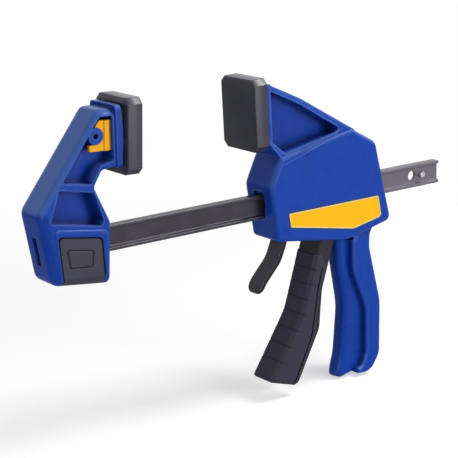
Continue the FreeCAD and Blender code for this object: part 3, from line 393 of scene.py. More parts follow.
@dataclass(frozen=True)
class StippledRubber(Finish):
    """Rubber with a field of fine points on it below a height, as the trigger's grip has on its lower sides."""

    pitch: float = 0.0011
    point_height: float = 0.00012
    below: float = -0.14
    fade: float = 0.025
    notch_shade_colour: Colour = (0.004, 0.004, 0.007)

    def tint(self, board: Board, colour: bpy.types.NodeSocket) -> bpy.types.NodeSocket:
        """Paints shade into the notches and over the front, where the mesh's notch attribute marks it.

        Args:
            board: The material's board.
            colour: The rubber's colour.

        Returns:
            The colour with the painted shade.
        """
        depth = board.add("Attribute", attribute_name="notch").outputs["Fac"]
        return board.mix(depth, colour, (*self.notch_shade_colour, 1.0))

    def relief(self, board: Board, normal: bpy.types.NodeSocket, target: bpy.types.NodeSocket) -> None:
        """Adds the points to the grained normal.

        Args:
            board: The material's board.
            normal: The normal with grain on it.
            target: The shader's normal input.
        """
        place = board.add("TexCoord").outputs["Object"]
        cells = board.add("TexVoronoi", {"Vector": place, "Scale": 1.0 / self.pitch, "Randomness": 0.0})
        height = board.add("SeparateXYZ", {0: place}).outputs["Z"]
        low = board.ramp(height, self.below + self.fade, self.below)
        points = board.math("MULTIPLY", board.ramp(cells.outputs["Distance"], 0.15, 0.45, 1.0, 0.0), low)
        bump = board.add("Bump", {"Strength": 1.0, "Distance": self.point_height, "Height": points, "Normal": normal})
        board.tree.links.new(bump.outputs["Normal"], target)


@dataclass(frozen=True)
class DrawnSteel(Finish):
    """Dark drawn steel, with a painted highlight that brightens it towards the end that the jaw slides off."""

    highlight_end_colour: Colour = (0.185, 0.170, 0.210)
    highlight_from: float = 0.02
    highlight_to: float = 0.14
    highlight_share: float = 0.85

    def tint(self, board: Board, colour: bpy.types.NodeSocket) -> bpy.types.NodeSocket:
        """Paints a highlight that brightens the bar towards its free end.

        Args:
            board: The material's board.
            colour: The dark steel's colour.

        Returns:
            The colour along the bar.
        """
        place = board.add("TexCoord").outputs["Object"]
        along = board.add("SeparateXYZ", {0: place}).outputs["X"]
        # Painted highlight, growing along X towards the free end.
        painted_highlight = board.math("MULTIPLY", board.ramp(along, self.highlight_from, self.highlight_to), self.highlight_share)
        return board.mix(painted_highlight, colour, (*self.highlight_end_colour, 1.0))


# The pale edge colour and the ridge mask paint highlights on the blue's edges and rims, more on those that face up; the
# hollow depth paints shade in its pockets.
BLUE_MOULDING = Finish("blue_moulding", (0.003, 0.047, 0.362), 0.28, tone=0.10, edge_colour=(0.13, 0.27, 0.72),
                       edge_share=0.15, raggedness=0.3, edge_radius=0.0010, ridge_share=0.85, upward=0.85,
                       grain_depth=0.000005, hollow_depth=0.6, hollow_reach=0.009, crest_reach=0.0060, specular=0.16)
FOOT_MOULDING = replace(BLUE_MOULDING, name="blue_foot_moulding", ridge_reach=0.0015, ridge_share=0.5,
                        crest_reach=0.0, slot="blue_moulding")
YELLOW_PANEL = Finish("yellow_panel", (0.99, 0.50, 0.001), 0.36, tone=0.04, edge_colour=(0.90, 0.84, 0.55),
                      edge_share=0.5, raggedness=0.0, edge_radius=0.0006, grain_depth=0.000003, specular=0.15)
YELLOW_MOULDING = Finish("yellow_moulding", (1.0, 0.46, 0.004), 0.42, tone=0.06, edge_colour=(1.0, 0.50, 0.03),
                         edge_share=0.5, grain_depth=0.000005, specular=0.2)
CREAM_PRINT = Finish("cream_print", (0.80, 0.74, 0.46), 0.40, tone=0.06, edge_share=0.0, grain_depth=0.000002,
                     specular=0.15, slotted=False)
PAD_RUBBER = Finish("pad_rubber", (0.034, 0.033, 0.058), 0.27, tone=0.08, edge_colour=(0.020, 0.020, 0.030),
                    edge_share=0.4, grain_size=1800.0, grain_depth=0.000004, edge_radius=0.0006, specular=0.40)
# Its pale edge colour paints highlights on the grip's edges.
GRIP_RUBBER = StippledRubber("grip_rubber", (0.044, 0.041, 0.068), 0.50, tone=0.14, edge_colour=(0.10, 0.10, 0.12),
                             edge_share=0.3, grain_depth=0.000012, edge_radius=0.0006, specular=0.10)
# Its pale edge colour paints highlights on the edges; its hollow depth paints shade in hollows.
BLACK_MOULDING = Finish("black_moulding", (0.034, 0.031, 0.044), 0.36, tone=0.12, edge_colour=(0.12, 0.12, 0.15),
                        edge_share=0.45, grain_depth=0.000008, hollow_depth=0.4, specular=0.10)
# Its pale edge colour and ridge mask paint highlights on the lever's rims.
LEVER_MOULDING = Finish("lever_moulding", (0.022, 0.021, 0.028), 0.24, tone=0.12, edge_colour=(0.20, 0.19, 0.22),
                        edge_share=0.8, raggedness=0.25, edge_radius=0.0012, ridge_share=0.25, ridge_reach=0.0006,
                        grain_depth=0.000004, specular=0.12)
JOINT_SHADE = Finish("joint_shade", (0.004, 0.004, 0.006), 0.60, edge_share=0.0, grain_depth=0.000002, specular=0.05,
                     slot="black_moulding")
# Its near-black edge colour paints shadow along the latch block's edges.
LATCH_MOULDING = Finish("latch_moulding", (0.042, 0.041, 0.066), 0.40, tone=0.12, edge_colour=(0.006, 0.006, 0.010),
                        edge_share=0.85, raggedness=0.05, edge_radius=0.0014, grain_depth=0.00001, specular=0.25)
# Its pale edge colour paints highlights on the bar's edges and lips.
BAR_STEEL = DrawnSteel("bar_steel", (0.042, 0.037, 0.055), 0.34, metallic=0.5, tone=0.30, tone_size=60.0,
                       grain_size=900.0, grain_depth=0.000012, stretch=(0.03, 1.0, 1.0),
                       edge_colour=(0.45, 0.43, 0.47), edge_share=0.6, raggedness=0.25, edge_radius=0.0008,
                       specular=0.35)
PIN_STEEL = Finish("pin_steel", (0.55, 0.55, 0.56), 0.32, metallic=1.0, tone=0.1, stretch=(1.0, 0.05, 1.0))
SPRING_STEEL = Finish("spring_steel", (0.50, 0.50, 0.52), 0.35, metallic=1.0, tone=0.2)
PLATE_STEEL = Finish("plate_steel", (0.30, 0.30, 0.31), 0.40, metallic=1.0, tone=0.25, stretch=(1.0, 1.0, 0.06))


@dataclass
class Piece:
    """A piece built for the scene: it becomes an object at the origin that rides on a body."""

    name: str
    body: str
    finish: Finish
    stands_for: tuple[str, ...] = ()

    def shape(self) -> bmesh.types.BMesh:
        """Builds the piece's mesh in place; each kind of piece has its own."""
        raise NotImplementedError

    def build(self) -> bpy.types.Object:
        """Makes the object, dresses it and gives it its body.

        Returns:
            The finished object.
        """
        bm = self.shape()
        bmesh.ops.recalc_face_normals(bm, faces=bm.faces)
        mesh = bpy.data.meshes.new(self.name)
        bm.to_mesh(mesh)
        bm.free()
        mesh.shade_smooth()
        mesh.set_sharp_from_angle(angle=SMOOTH_BELOW)
        mesh.materials.append(self.finish.build())
        piece = bpy.data.objects.new(self.name, mesh)
        bpy.context.scene.collection.objects.link(piece)
        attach(piece, self.body)
        if self.stands_for:
            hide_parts(*self.stands_for)
        log.info("built %s with %d faces", self.name, len(mesh.polygons))
        return piece


def beveled(bm: bmesh.types.BMesh, edges: list[bmesh.types.BMEdge], width: float, segments: int) -> None:
    """Bevels edges.

    Args:
        bm: The mesh.
        edges: The edges to bevel.
        width: Offset along each neighbouring face, in metres.
        segments: Rows of faces.
    """
    bmesh.ops.bevel(bm, geom=edges, offset=width, offset_type="OFFSET", affect="EDGES", segments=segments,
                    profile=0.5, material=-1, clamp_overlap=True)


def extruded(bm: bmesh.types.BMesh, faces: list[bmesh.types.BMFace], shift: Point) -> None:
    """Extrudes faces.

    Args:
        bm: The mesh.
        faces: The faces to extrude.
        shift: Where the new faces go from the old.
    """
    result = bmesh.ops.extrude_face_region(bm, geom=faces)
    moved = [v for v in result["geom"] if isinstance(v, bmesh.types.BMVert)]
    bmesh.ops.translate(bm, vec=shift, verts=moved)


def cut_faces(bm: bmesh.types.BMesh, faces: list[bmesh.types.BMFace], place: Vector, normal: Vector) -> None:
    """Cuts faces along a plane.

    Args:
        bm: The mesh.
        faces: The faces to cut.
        place: A point on the plane.
        normal: The plane's normal.
    """
    edges = {e for f in faces for e in f.edges}
    verts = {v for f in faces for v in f.verts}
    bmesh.ops.bisect_plane(bm, geom=[*faces, *edges, *verts], dist=NEAR, plane_co=place, plane_no=normal)


@dataclass
class JawPad(Piece):
    """A soft pad capping a jaw: bevelled corners, finely rounded rims and a socket in its back."""

    face: Point = (0.0, 0.0, 0.0)
    lean: float = -2.17
    facing: Facing = Facing.TO_FREE_END
    width: float = 0.0424
    height: float = 0.0561
    thickness: float = 0.0125
    corner: float = 0.0045
    rim: float = 0.0006
    rim_from: float = 0.41
    socket: Point = (0.0045, 0.0352, 0.0452)

    def shape(self) -> bmesh.types.BMesh:
        """Builds the pad.

        Returns:
            The pad's mesh, in place.
        """
        bm = bmesh.new()
        bmesh.ops.create_cube(bm, size=1.0)
        bmesh.ops.scale(bm, vec=(self.thickness, self.width, self.height), verts=bm.verts)
        bmesh.ops.translate(bm, vec=(self.thickness / 2, 0.0, 0.0), verts=bm.verts)
        long_edges = [e for e in bm.edges if abs((e.verts[0].co - e.verts[1].co).normalized().x) > 0.9]
        beveled(bm, long_edges, self.corner, 1)
        front = [f for f in bm.faces if f.normal.x < -0.9]
        self.hollow_back(bm)
        rims = {e for f in front for e in f.edges} | {
            e for e in bm.edges if all(abs(v.co.x - self.thickness) < NEAR for v in e.verts)
            and max(abs(e.verts[0].co.y), abs(e.verts[0].co.z) * self.width / self.height)
            > self.rim_from * self.width}
        beveled(bm, list(rims), self.rim, 3)
        if self.facing is Facing.TO_FIXED_END:
            bmesh.ops.scale(bm, vec=(-1.0, 1.0, 1.0), verts=bm.verts)
            bmesh.ops.reverse_faces(bm, faces=bm.faces)
        bmesh.ops.rotate(bm, cent=(0, 0, 0), matrix=Matrix.Rotation(math.radians(self.lean), 3, "Y"), verts=bm.verts)
        bmesh.ops.translate(bm, vec=self.face, verts=bm.verts)
        return bm

    def hollow_back(self, bm: bmesh.types.BMesh) -> None:
        """Sinks the socket that takes the jaw's plate.

        Args:
            bm: The pad's block, its back towards +X.
        """
        depth, wide, high = self.socket
        for side, at in ((Vector((0, 1, 0)), wide / 2), (Vector((0, -1, 0)), wide / 2),
                         (Vector((0, 0, 1)), high / 2), (Vector((0, 0, -1)), high / 2)):
            back = [f for f in bm.faces if f.normal.x > 0.9]
            edges = list({e for f in back for e in f.edges})
            verts = list({v for f in back for v in f.verts})
            bmesh.ops.bisect_plane(bm, geom=back + edges + verts, plane_co=side * at, plane_no=side)
        sunk = [f for f in bm.faces if f.normal.x > 0.9 and abs(f.calc_center_median().y) < wide / 2
                and abs(f.calc_center_median().z) < high / 2]
        extruded(bm, sunk, (-depth, 0.0, 0.0))
        bmesh.ops.delete(bm, geom=sunk, context="FACES_ONLY")


@dataclass
class TriggerGrip(Piece):
    """Soft skin on the trigger's front and sides, with notches across it."""

    front: Outline = ((0.0653, -0.1221), (0.0505, -0.1694), (0.0183, -0.2182), (0.0198, -0.2205))
    rear: Outline = ((0.0440, -0.2282), (0.0656, -0.1850), (0.0690, -0.1535), (0.0753, -0.1315), (0.0712, -0.1221))
    width: float = 0.026
    corner: float = 0.0033
    skin: float = 0.0014
    reach: float = 0.0085
    wedge: float = 0.0050
    notch_front: float = 0.0006
    notch_corner: float = 0.0015
    notch_side: float = 0.0004
    notch_above: float = 0.0016
    notch_below: float = 0.0012
    front_shade: float = 0.38
    front_notch_shade: float = 0.50
    side_notch_shade: float = 0.55
    first: float = 0.0113
    pitch: float = 0.0118
    count: int = 7
    bends: dict[int, float] = field(default_factory=lambda: {1: 0.048, 5: 0.0132, 6: 0.0188})
    bend_steps: int = 6
    bend_run: float = 0.04

    def outline(self) -> list[Vector]:
        """Side view of the skin with its bends rounded.

        Returns:
            Points in the XZ plane, front edge first.
        """
        corners = [Vector((x, 0.0, z)) for x, z in self.front + self.rear]
        points: list[Vector] = []
        for index, corner in enumerate(corners):
            radius = self.bends.get(index, 0.0)
            if not radius:
                points.append(corner)
                continue
            before = (corners[index - 1] - corner).normalized()
            after = (corners[(index + 1) % len(corners)] - corner).normalized()
            reach = radius / math.tan(before.angle(after) / 2)
            start, end = corner + before * reach, corner + after * reach
            for step in range(self.bend_steps + 1):
                share = step / self.bend_steps
                points.append(start.lerp(corner, share).lerp(corner.lerp(end, share), share))
        return points

    def shape(self) -> bmesh.types.BMesh:
        """Builds the skin.

        Returns:
            The grip's mesh, in place.
        """
        bm = bmesh.new()
        bm.verts.layers.float.new("notch")
        verts = [bm.verts.new(point - Vector((0.0, self.width / 2, 0.0))) for point in self.outline()]
        extruded(bm, [bm.faces.new(verts)], (0.0, self.width, 0.0))
        bmesh.ops.recalc_face_normals(bm, faces=bm.faces)
        front_faces = [f for f in bm.faces if self.is_front(f)]
        corners = {e for f in front_faces for e in f.edges if abs(e.verts[0].co.y - e.verts[1].co.y) < NEAR}
        beveled(bm, list(corners), self.corner, 1)
        marks = bm.verts.layers.float["notch"]
        # Painted shade: the front is marked darker in the notch attribute, which the grip's material reads.
        for vert in bm.verts:
            if abs(vert.co.y) < self.width / 2 - self.corner + TOUCHING:
                vert[marks] = self.front_shade
        self.cut_notches(bm)
        open_faces = [f for f in bm.faces if abs(f.normal.y) < 0.3 and (f.normal.x > 0.1 or self.is_end(f))]
        bmesh.ops.delete(bm, geom=open_faces, context="FACES")
        bmesh.ops.recalc_face_normals(bm, faces=bm.faces)
        bmesh.ops.solidify(bm, geom=bm.faces[:], thickness=self.skin)
        return bm

    def is_end(self, face: bmesh.types.BMFace) -> bool:
        """Tells whether a face closes the skin's top or foot, where the handle passes between its sides."""
        height = face.calc_center_median().z
        top, foot = self.front[0][1], self.front[-1][1]
        return height > top - TOUCHING or (height < foot and face.normal.z < -0.9)

    def is_front(self, face: bmesh.types.BMFace) -> bool:
        """Tells whether a face is part of the front run of the skin."""
        return abs(face.normal.y) < 0.5 and face.normal.x < -0.1

    def cut_notches(self, bm: bmesh.types.BMesh) -> None:
        """Cuts the notches across the skin, deepest at its front corners and fading out on its sides.

        Args:
            bm: The skin's block.
        """
        upper, bend, lower = (Vector((x, 0.0, z)) for x, z in self.front[:3])
        for index in range(self.count):
            height = upper.z - self.first - index * self.pitch
            blend = max(0.0, min(1.0, 0.5 + (bend.z - height) / self.bend_run))
            run = (bend - upper).normalized().lerp((lower - bend).normalized(), blend).normalized()
            inward = Vector((-run.z, 0.0, run.x))
            middle = Vector((self.front_x(height), 0.0, height))
            for shift in (-self.notch_above, 0.0, self.notch_below):
                cut_faces(bm, bm.faces[:], middle + run * shift, run)
            band = [f for f in bm.faces
                    if -self.notch_above < (f.calc_center_median() - middle).dot(run) < self.notch_below]
            cut_faces(bm, [f for f in band if abs(f.normal.y) > 0.9], middle + inward * self.reach, inward)
            for side in Side:
                strip = [f for f in bm.faces if abs(f.normal.y) < 0.1
                         and (f.calc_center_median() - middle).dot(inward) < self.corner
                         and -self.notch_above < (f.calc_center_median() - middle).dot(run) < self.notch_below]
                flank = Vector((0.0, side.value, 0.0))
                cut_faces(bm, strip, flank * (self.width / 2 - self.corner - self.wedge), flank)
            for vert in bm.verts:
                if abs((vert.co - middle).dot(run)) < 2e-5:
                    self.sink(bm, vert, (vert.co - middle).dot(inward), inward)

    def sink(self, bm: bmesh.types.BMesh, vert: bmesh.types.BMVert, behind: float, inward: Vector) -> None:
        """Sinks one point of a notch's bottom and marks the painted shade there.

        Args:
            bm: The skin's block.
            vert: The point.
            behind: How far it lies behind the front, in metres.
            inward: The way from the front into the trigger.
        """
        marks = bm.verts.layers.float["notch"]
        across = abs(vert.co.y) - (self.width / 2 - self.corner)
        outward = Vector((0.0, math.copysign(1.0, vert.co.y), 0.0))
        if behind > self.reach - TOUCHING:
            return
        if across < -TOUCHING:
            vert.co += inward * self.notch_front
            vert[marks] = self.front_notch_shade
        elif across < TOUCHING:
            vert.co += (inward * 0.8 - outward * 0.6) * self.notch_corner
            vert[marks] = 1.0
        else:
            fade = min(1.0, (self.reach - behind) / (self.reach - self.corner))
            vert.co -= outward * self.notch_side * fade
            vert[marks] = self.side_notch_shade * fade

    def front_x(self, height: float) -> float:
        """Finds the front edge.

        Args:
            height: The height in the part's frame, in metres.

        Returns:
            X of the front edge there.
        """
        points = self.outline()[:self.bend_steps * 2]
        for first, second in zip(points, points[1:]):
            if first.z >= height >= second.z and first.z > second.z:
                return first.x + (second.x - first.x) * (first.z - height) / (first.z - second.z)
        return points[-1].x


@dataclass
class GripGapShadow(Piece):
    """Dark bead along the rear edge of the trigger's skin: painted shadow of the gap where the skin is let into the
    hard core.
    """

    path: Outline = ((0.0228, -0.2192), (0.0424, -0.2243), (0.0600, -0.1890), (0.0645, -0.1640), (0.0668, -0.1500),
                     (0.0716, -0.1330))
    side: Side = Side.NEAR
    surface: float = 0.013
    wide: float = 0.0010
    proud: float = 0.00012
    bend: float = 0.003

    def shape(self) -> bmesh.types.BMesh:
        """Builds the bead.

        Returns:
            The bead's mesh, in place.
        """
        bm = bmesh.new()
        verts = [bm.verts.new((x, self.side.value * self.surface, z)) for x, z in self.path]
        for pair in zip(verts, verts[1:]):
            bm.edges.new(pair)
        bmesh.ops.bevel(bm, geom=verts[1:-1], offset=self.bend, offset_type="OFFSET", affect="VERTICES", segments=4,
                        profile=0.5, material=-1, clamp_overlap=True)
        result = bmesh.ops.extrude_edge_only(bm, edges=bm.edges[:])
        moved = [v for v in result["geom"] if isinstance(v, bmesh.types.BMVert)]
        bmesh.ops.translate(bm, vec=(self.wide, 0.0, -self.wide * 0.5), verts=moved)
        bmesh.ops.solidify(bm, geom=bm.faces[:], thickness=2 * self.proud)
        return bm


@dataclass
class BadgeTrim(Piece):
    """Narrow printed border on a badge, or a dark strip of painted shadow in the gap just outside it."""

    side: Side = Side.NEAR
    outside: bool = False
    surface: float = 0.01725
    wide: float = 0.0009
    thick: float = 0.00012
    corner: float = 0.0009
    outline: Outline = (
        (0.0346, -0.0815), (0.1286, -0.08174), (0.1320, -0.09802), (0.12957, -0.10014), (0.10181, -0.1051),
        (0.03635, -0.09295))

    def shape(self) -> bmesh.types.BMesh:
        """Builds the border.

        Returns:
            The border's mesh, in place.
        """
        bm = bmesh.new()
        level = self.side.value * self.surface
        bm.faces.new([bm.verts.new((x, level, z)) for x, z in self.outline])
        bmesh.ops.bevel(bm, geom=bm.verts[:], offset=self.corner, offset_type="OFFSET", affect="VERTICES",
                        segments=3, profile=0.5, material=-1, clamp_overlap=True)
        inward = -self.wide if self.outside else self.wide
        ring = bmesh.ops.inset_region(bm, faces=bm.faces[:], thickness=inward, use_boundary=True,
                                      use_even_offset=True)["faces"]
        bmesh.ops.delete(bm, geom=[f for f in bm.faces if f not in ring], context="FACES")
        extruded(bm, bm.faces[:], (0.0, self.side.value * self.thick, 0.0))
        return bm


@dataclass
class FootRim(Piece):
    """Raised border with a rounded rim round the latch block on one side of the foot, or a dark strip of painted shadow
    in the gap inside it.
    """

    side: Side = Side.NEAR
    surface: float = 0.016
    proud: float = 0.0010
    sunk: float = 0.0006
    rim: float = 0.0009
    corner: float = 0.0032
    square_below: float = -0.08
    outline: Outline = (
        (-0.1731, -0.0975), (-0.1764, -0.0580), (-0.1326, -0.0648), (-0.1335, -0.0985), (-0.1357, -0.0985),
        (-0.1372, -0.0697), (-0.1743, -0.0636), (-0.1714, -0.0975))

    def shape(self) -> bmesh.types.BMesh:
        """Builds the border.

        Returns:
            The border's mesh, in place.
        """
        bm = bmesh.new()
        level = self.side.value * (self.surface - self.sunk)
        face = bm.faces.new([bm.verts.new((x, level, z)) for x, z in self.outline])
        extruded(bm, [face], (0.0, self.side.value * (self.sunk + self.proud), 0.0))
        bmesh.ops.recalc_face_normals(bm, faces=bm.faces)
        upright = [e for e in bm.edges if abs(e.verts[0].co.y - e.verts[1].co.y) > self.proud
                   and e.verts[0].co.z > self.square_below]
        beveled(bm, upright, self.corner, 4)
        outer = [f for f in bm.faces if f.normal.y * self.side.value > 0.9]
        beveled(bm, list({e for f in outer for e in f.edges}), self.rim, 4)
        return bm


@dataclass
class PanelLine(Piece):
    """Fine raised line moulded on the housing's side, below its sloping top."""

    start: tuple[float, float] = (0.027, -0.040)
    end: tuple[float, float] = (0.090, -0.020)
    side: Side = Side.NEAR
    surface: float = 0.017
    wide: float = 0.0007
    proud: float = 0.0003

    def shape(self) -> bmesh.types.BMesh:
        """Builds the line.

        Returns:
            The line's mesh, in place.
        """
        bm = bmesh.new()
        first, last = (Vector((x, 0.0, z)) for x, z in (self.start, self.end))
        run = last - first
        bmesh.ops.create_cube(bm, size=1.0)
        bmesh.ops.scale(bm, vec=(run.length, 2 * self.proud, self.wide), verts=bm.verts)
        beveled(bm, [e for e in bm.edges if abs(e.verts[0].co.y - e.verts[1].co.y) < 1e-7], self.proud * 0.7, 2)
        slope = math.atan2(run.z, run.x)
        bmesh.ops.rotate(bm, cent=(0, 0, 0), matrix=Matrix.Rotation(-slope, 3, "Y"), verts=bm.verts)
        middle = (first + last) / 2
        bmesh.ops.translate(bm, vec=(middle.x, self.side.value * self.surface, middle.z), verts=bm.verts)
        return bm


@dataclass
class PalmRibs(Piece):
    """Low bands across the handle's back, with fine notches between them."""

    top: Point = (0.13500, 0.0, -0.1785)
    bottom: Point = (0.13470, 0.0, -0.2125)
    count: int = 6
    width: float = 0.022
    sunk: float = 0.0010
    proud: float = 0.0004
    notch: float = 0.0009

    def shape(self) -> bmesh.types.BMesh:
        """Builds the bands.

        Returns:
            The bands' mesh, in place.
        """
        bm = bmesh.new()
        first, last = Vector(self.top), Vector(self.bottom)
        pitch = (last - first).length / self.count
        for index in range(self.count):
            middle = first.lerp(last, (index + 0.5) / self.count)
            made = bmesh.ops.create_cube(bm, size=1.0)["verts"]
            bmesh.ops.scale(bm, vec=(self.sunk + self.proud, self.width, pitch - self.notch), verts=made)
            bmesh.ops.translate(bm, vec=middle + Vector(((self.proud - self.sunk) / 2, 0.0, 0.0)), verts=made)
        outer = [f for f in bm.faces if f.normal.x > 0.9]
        beveled(bm, list({e for f in outer for e in f.edges}), self.proud * 0.8, 3)
        return bm


@dataclass
class CoilSpring(Piece):
    """A compression spring of round wire, as long as its CAD solid."""

    axis: Point = (1.0, 0.0, 0.0)
    out: Point = (0.0, 1.0, 0.0)
    radius: float = 0.0116
    wire: float = 0.0014
    turns: int = 4
    steps: int = 28
    sides: int = 10

    def shape(self) -> bmesh.types.BMesh:
        """Builds the coil.

        Returns:
            The coil's mesh, in place.
        """
        low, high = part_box(self.stands_for[0])
        axis, out = Vector(self.axis), Vector(self.out)
        middle = (low + high) / 2
        length = (high - low).dot(Vector((abs(v) for v in self.axis))) - self.wire
        start = middle - axis * (length / 2)
        pitch = length / self.turns
        heading = (axis.cross(out) * (2 * math.pi * self.radius) + axis * pitch).normalized()
        bm = bmesh.new()
        bmesh.ops.create_circle(bm, cap_ends=True, radius=self.wire / 2, segments=self.sides)
        bmesh.ops.rotate(bm, cent=(0, 0, 0), verts=bm.verts,
                         matrix=Vector((0, 0, 1)).rotation_difference(heading).to_matrix())
        bmesh.ops.translate(bm, vec=start + out * self.radius, verts=bm.verts)
        count = self.steps * self.turns
        bmesh.ops.spin(bm, geom=bm.verts[:] + bm.edges[:] + bm.faces[:], cent=start, axis=axis,
                       dvec=axis * (length / count), angle=2 * math.pi * self.turns, steps=count,
                       use_merge=False, use_duplicate=False)
        bmesh.ops.holes_fill(bm, edges=[e for e in bm.edges if e.is_boundary], sides=self.sides)
        return bm


@dataclass
class Studio:
    """Pale floor, plain soft lamps and the camera at the photograph's viewing angle."""

    place: Point = (-0.708757, -0.930994, 0.218676)
    right: Point = (0.79726, -0.60332, -0.01943)
    up: Point = (0.16934, 0.19266, 0.96654)
    back: Point = (-0.57939, -0.77388, 0.25577)
    lens: float = 121.86
    aim: Point = (0.01, 0.0, -0.10)
    lamps: tuple[tuple[str, Point, float, float], ...] = (
        ("key", (0.45, -1.20, 0.15), 0.7, 0.46), ("sheen", (0.78, -0.34, 0.95), 0.4, 0.45),
        ("fill", (-1.25, -0.35, 0.20), 0.9, 0.13), ("rim", (-1.00, -0.68, 0.00), 0.2, 0.08))
    ambient: float = 0.20
    floor_size: float = 4.0
    floor_glow: float = 0.50
    white_from: float = 0.40
    white_to: float = 0.75

    def camera(self) -> None:
        """Sets the camera."""
        data = bpy.data.cameras.new("camera")
        data.lens, data.sensor_width, data.clip_start = self.lens, 36.0, 0.01
        camera = bpy.data.objects.new("camera", data)
        turn = Matrix((self.right, self.up, self.back)).transposed().to_4x4()
        camera.matrix_world = Matrix.Translation(self.place) @ turn
        bpy.context.scene.collection.objects.link(camera)
        bpy.context.scene.camera = camera

    def lamp(self, name: str, place: Point, size: float, level: float) -> None:
        """Adds a soft lamp that lights the aim at a share of full level.

        Args:
            name: The lamp's name.
            place: Where it hangs.
            size: Its side, in metres.
            level: The light on a surface facing it, 1 where a colour renders as written.
        """
        data = bpy.data.lights.new(name, "AREA")
        reach = Vector(place) - Vector(self.aim)
        data.size, data.energy = size, level * math.pi ** 2 * reach.length_squared
        lamp = bpy.data.objects.new(name, data)
        lamp.matrix_world = Matrix.Translation(place) @ reach.to_track_quat("Z", "Y").to_matrix().to_4x4()
        bpy.context.scene.collection.objects.link(lamp)

    def world(self) -> None:
        """Sets an even sky that shows white to the camera and in gloss."""
        world = bpy.data.worlds.new("studio")
        world.use_nodes = True
        board = Board(world.node_tree)
        world.node_tree.nodes.clear()
        path = board.add("LightPath").outputs
        dim = board.add("Background", {"Color": (1, 1, 1, 1), "Strength": self.ambient}).outputs[0]
        white = board.add("Background", {"Color": (1, 1, 1, 1), "Strength": 1.0}).outputs[0]
        seen = board.math("MAXIMUM", path["Is Camera Ray"],
                          board.math("MAXIMUM", path["Is Glossy Ray"], path["Is Transmission Ray"]))
        shown = board.add("MixShader", {0: seen, 1: dim, 2: white}).outputs[0]
        board.add("OutputWorld", {"Surface": shown})
        bpy.context.scene.world = world

    def floor(self, height: float) -> None:
        """Lays the floor.

        Args:
            height: Where the object's lowest point is.
        """
        bm = bmesh.new()
        bmesh.ops.create_grid(bm, x_segments=1, y_segments=1, size=self.floor_size)
        bmesh.ops.translate(bm, vec=(0.0, 0.0, height), verts=bm.verts)
        mesh = bpy.data.meshes.new("floor")
        bm.to_mesh(mesh)
        bm.free()
        material = bpy.data.materials.new("pale_floor")
        material.use_nodes = True
        board = Board(material.node_tree)
        material.node_tree.nodes.clear()
        path = board.add("LightPath").outputs
        lit = board.add("BsdfDiffuse", {"Color": (0.86, 0.86, 0.86, 1)}).outputs[0]
        glow = board.add("Emission", {"Color": (1, 1, 1, 1), "Strength": self.floor_glow}).outputs[0]
        white = board.add("Emission", {"Color": (1, 1, 1, 1), "Strength": 1.0}).outputs[0]
        both = board.add("AddShader", {0: lit, 1: glow}).outputs[0]
        place = board.add("TexCoord").outputs["Object"]
        reach = board.add("VectorMath", {0: place}, operation="LENGTH").outputs["Value"]
        far = board.ramp(reach, self.white_from, self.white_to)
        pale = board.add("MixShader", {0: far, 1: both, 2: white}).outputs[0]
        shown = board.add("MixShader", {0: path["Is Camera Ray"], 1: lit, 2: pale}).outputs[0]
        board.add("OutputMaterial", {"Surface": shown})
        mesh.materials.append(material)
        floor = bpy.data.objects.new("floor", mesh)
        bpy.context.scene.collection.objects.link(floor)
        floor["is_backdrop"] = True

    def build(self, floor_height: float) -> None:
        """Sets camera, lamps, world and floor.

        Args:
            floor_height: Where the floor lies.
        """
        self.camera()
        for lamp in self.lamps:
            self.lamp(*lamp)
        self.world()
        self.floor(floor_height)
        bpy.context.scene.view_settings.view_transform = "Standard"


@dataclass
class SubAssembly:
    """Pieces of the clamp that belong together: CAD nodes that are dressed, and new pieces that are built."""

    def nodes(self) -> dict[str, Finish]:
        """Names the CAD nodes with their finishes."""
        raise NotImplementedError

    def pieces(self) -> list[Piece]:
        """Lists the new pieces; a sub-assembly may have none."""
        return []

    def build(self) -> None:
        """Dresses the nodes and builds the pieces."""
        for name, finish in self.nodes().items():
            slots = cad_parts[name].data.materials
            slots.clear()
            slots.append(finish.build())
            log.info("dressed %s in %s", name, finish.name)
        for piece in self.pieces():
            piece.build()


@dataclass
class MovableJaw(SubAssembly):
    """Moulded body with its arm, handle, badges, pad and trigger pin."""

    pad_socket: Point = (0.0045, 0.0352, 0.0452)
    side_surface: float = 0.01698
    lines: tuple[Outline, ...] = (
        ((0.0290, -0.0385), (0.0905, -0.0205)), ((0.0300, -0.0420), (0.0760, -0.0285)))

    def nodes(self) -> dict[str, Finish]:
        """Names the CAD nodes with their finishes."""
        return {"jaw_body": BLUE_MOULDING, "badge_near": YELLOW_PANEL, "badge_far": YELLOW_PANEL,
                "moving_pad": PAD_RUBBER, "trigger_pin": PIN_STEEL}

    def pieces(self) -> list[Piece]:
        """Lists the pad, the palm ribs, the lines moulded on both sides, the badges' borders and the dark strips of
        painted shadow round them.
        """
        lines = [PanelLine(f"panel_line_{side.name.lower()}_{number}", "movable_jaw", BLUE_MOULDING,
                           start=start, end=end, side=side)
                 for side in Side for number, (start, end) in enumerate(self.lines, 1)]
        trims = [BadgeTrim(f"badge_border_{side.name.lower()}", "movable_jaw", CREAM_PRINT, side=side)
                 for side in Side]
        gap_shadows = [BadgeTrim(f"badge_gap_shadow_{side.name.lower()}", "movable_jaw", BLACK_MOULDING, side=side,
                            outside=True, surface=self.side_surface) for side in Side]
        return [JawPad("moving_pad_rubber", "movable_jaw", PAD_RUBBER, ("moving_pad",), socket=self.pad_socket),
                PalmRibs("palm_ribs", "movable_jaw", BLUE_MOULDING), *lines, *trims, *gap_shadows]


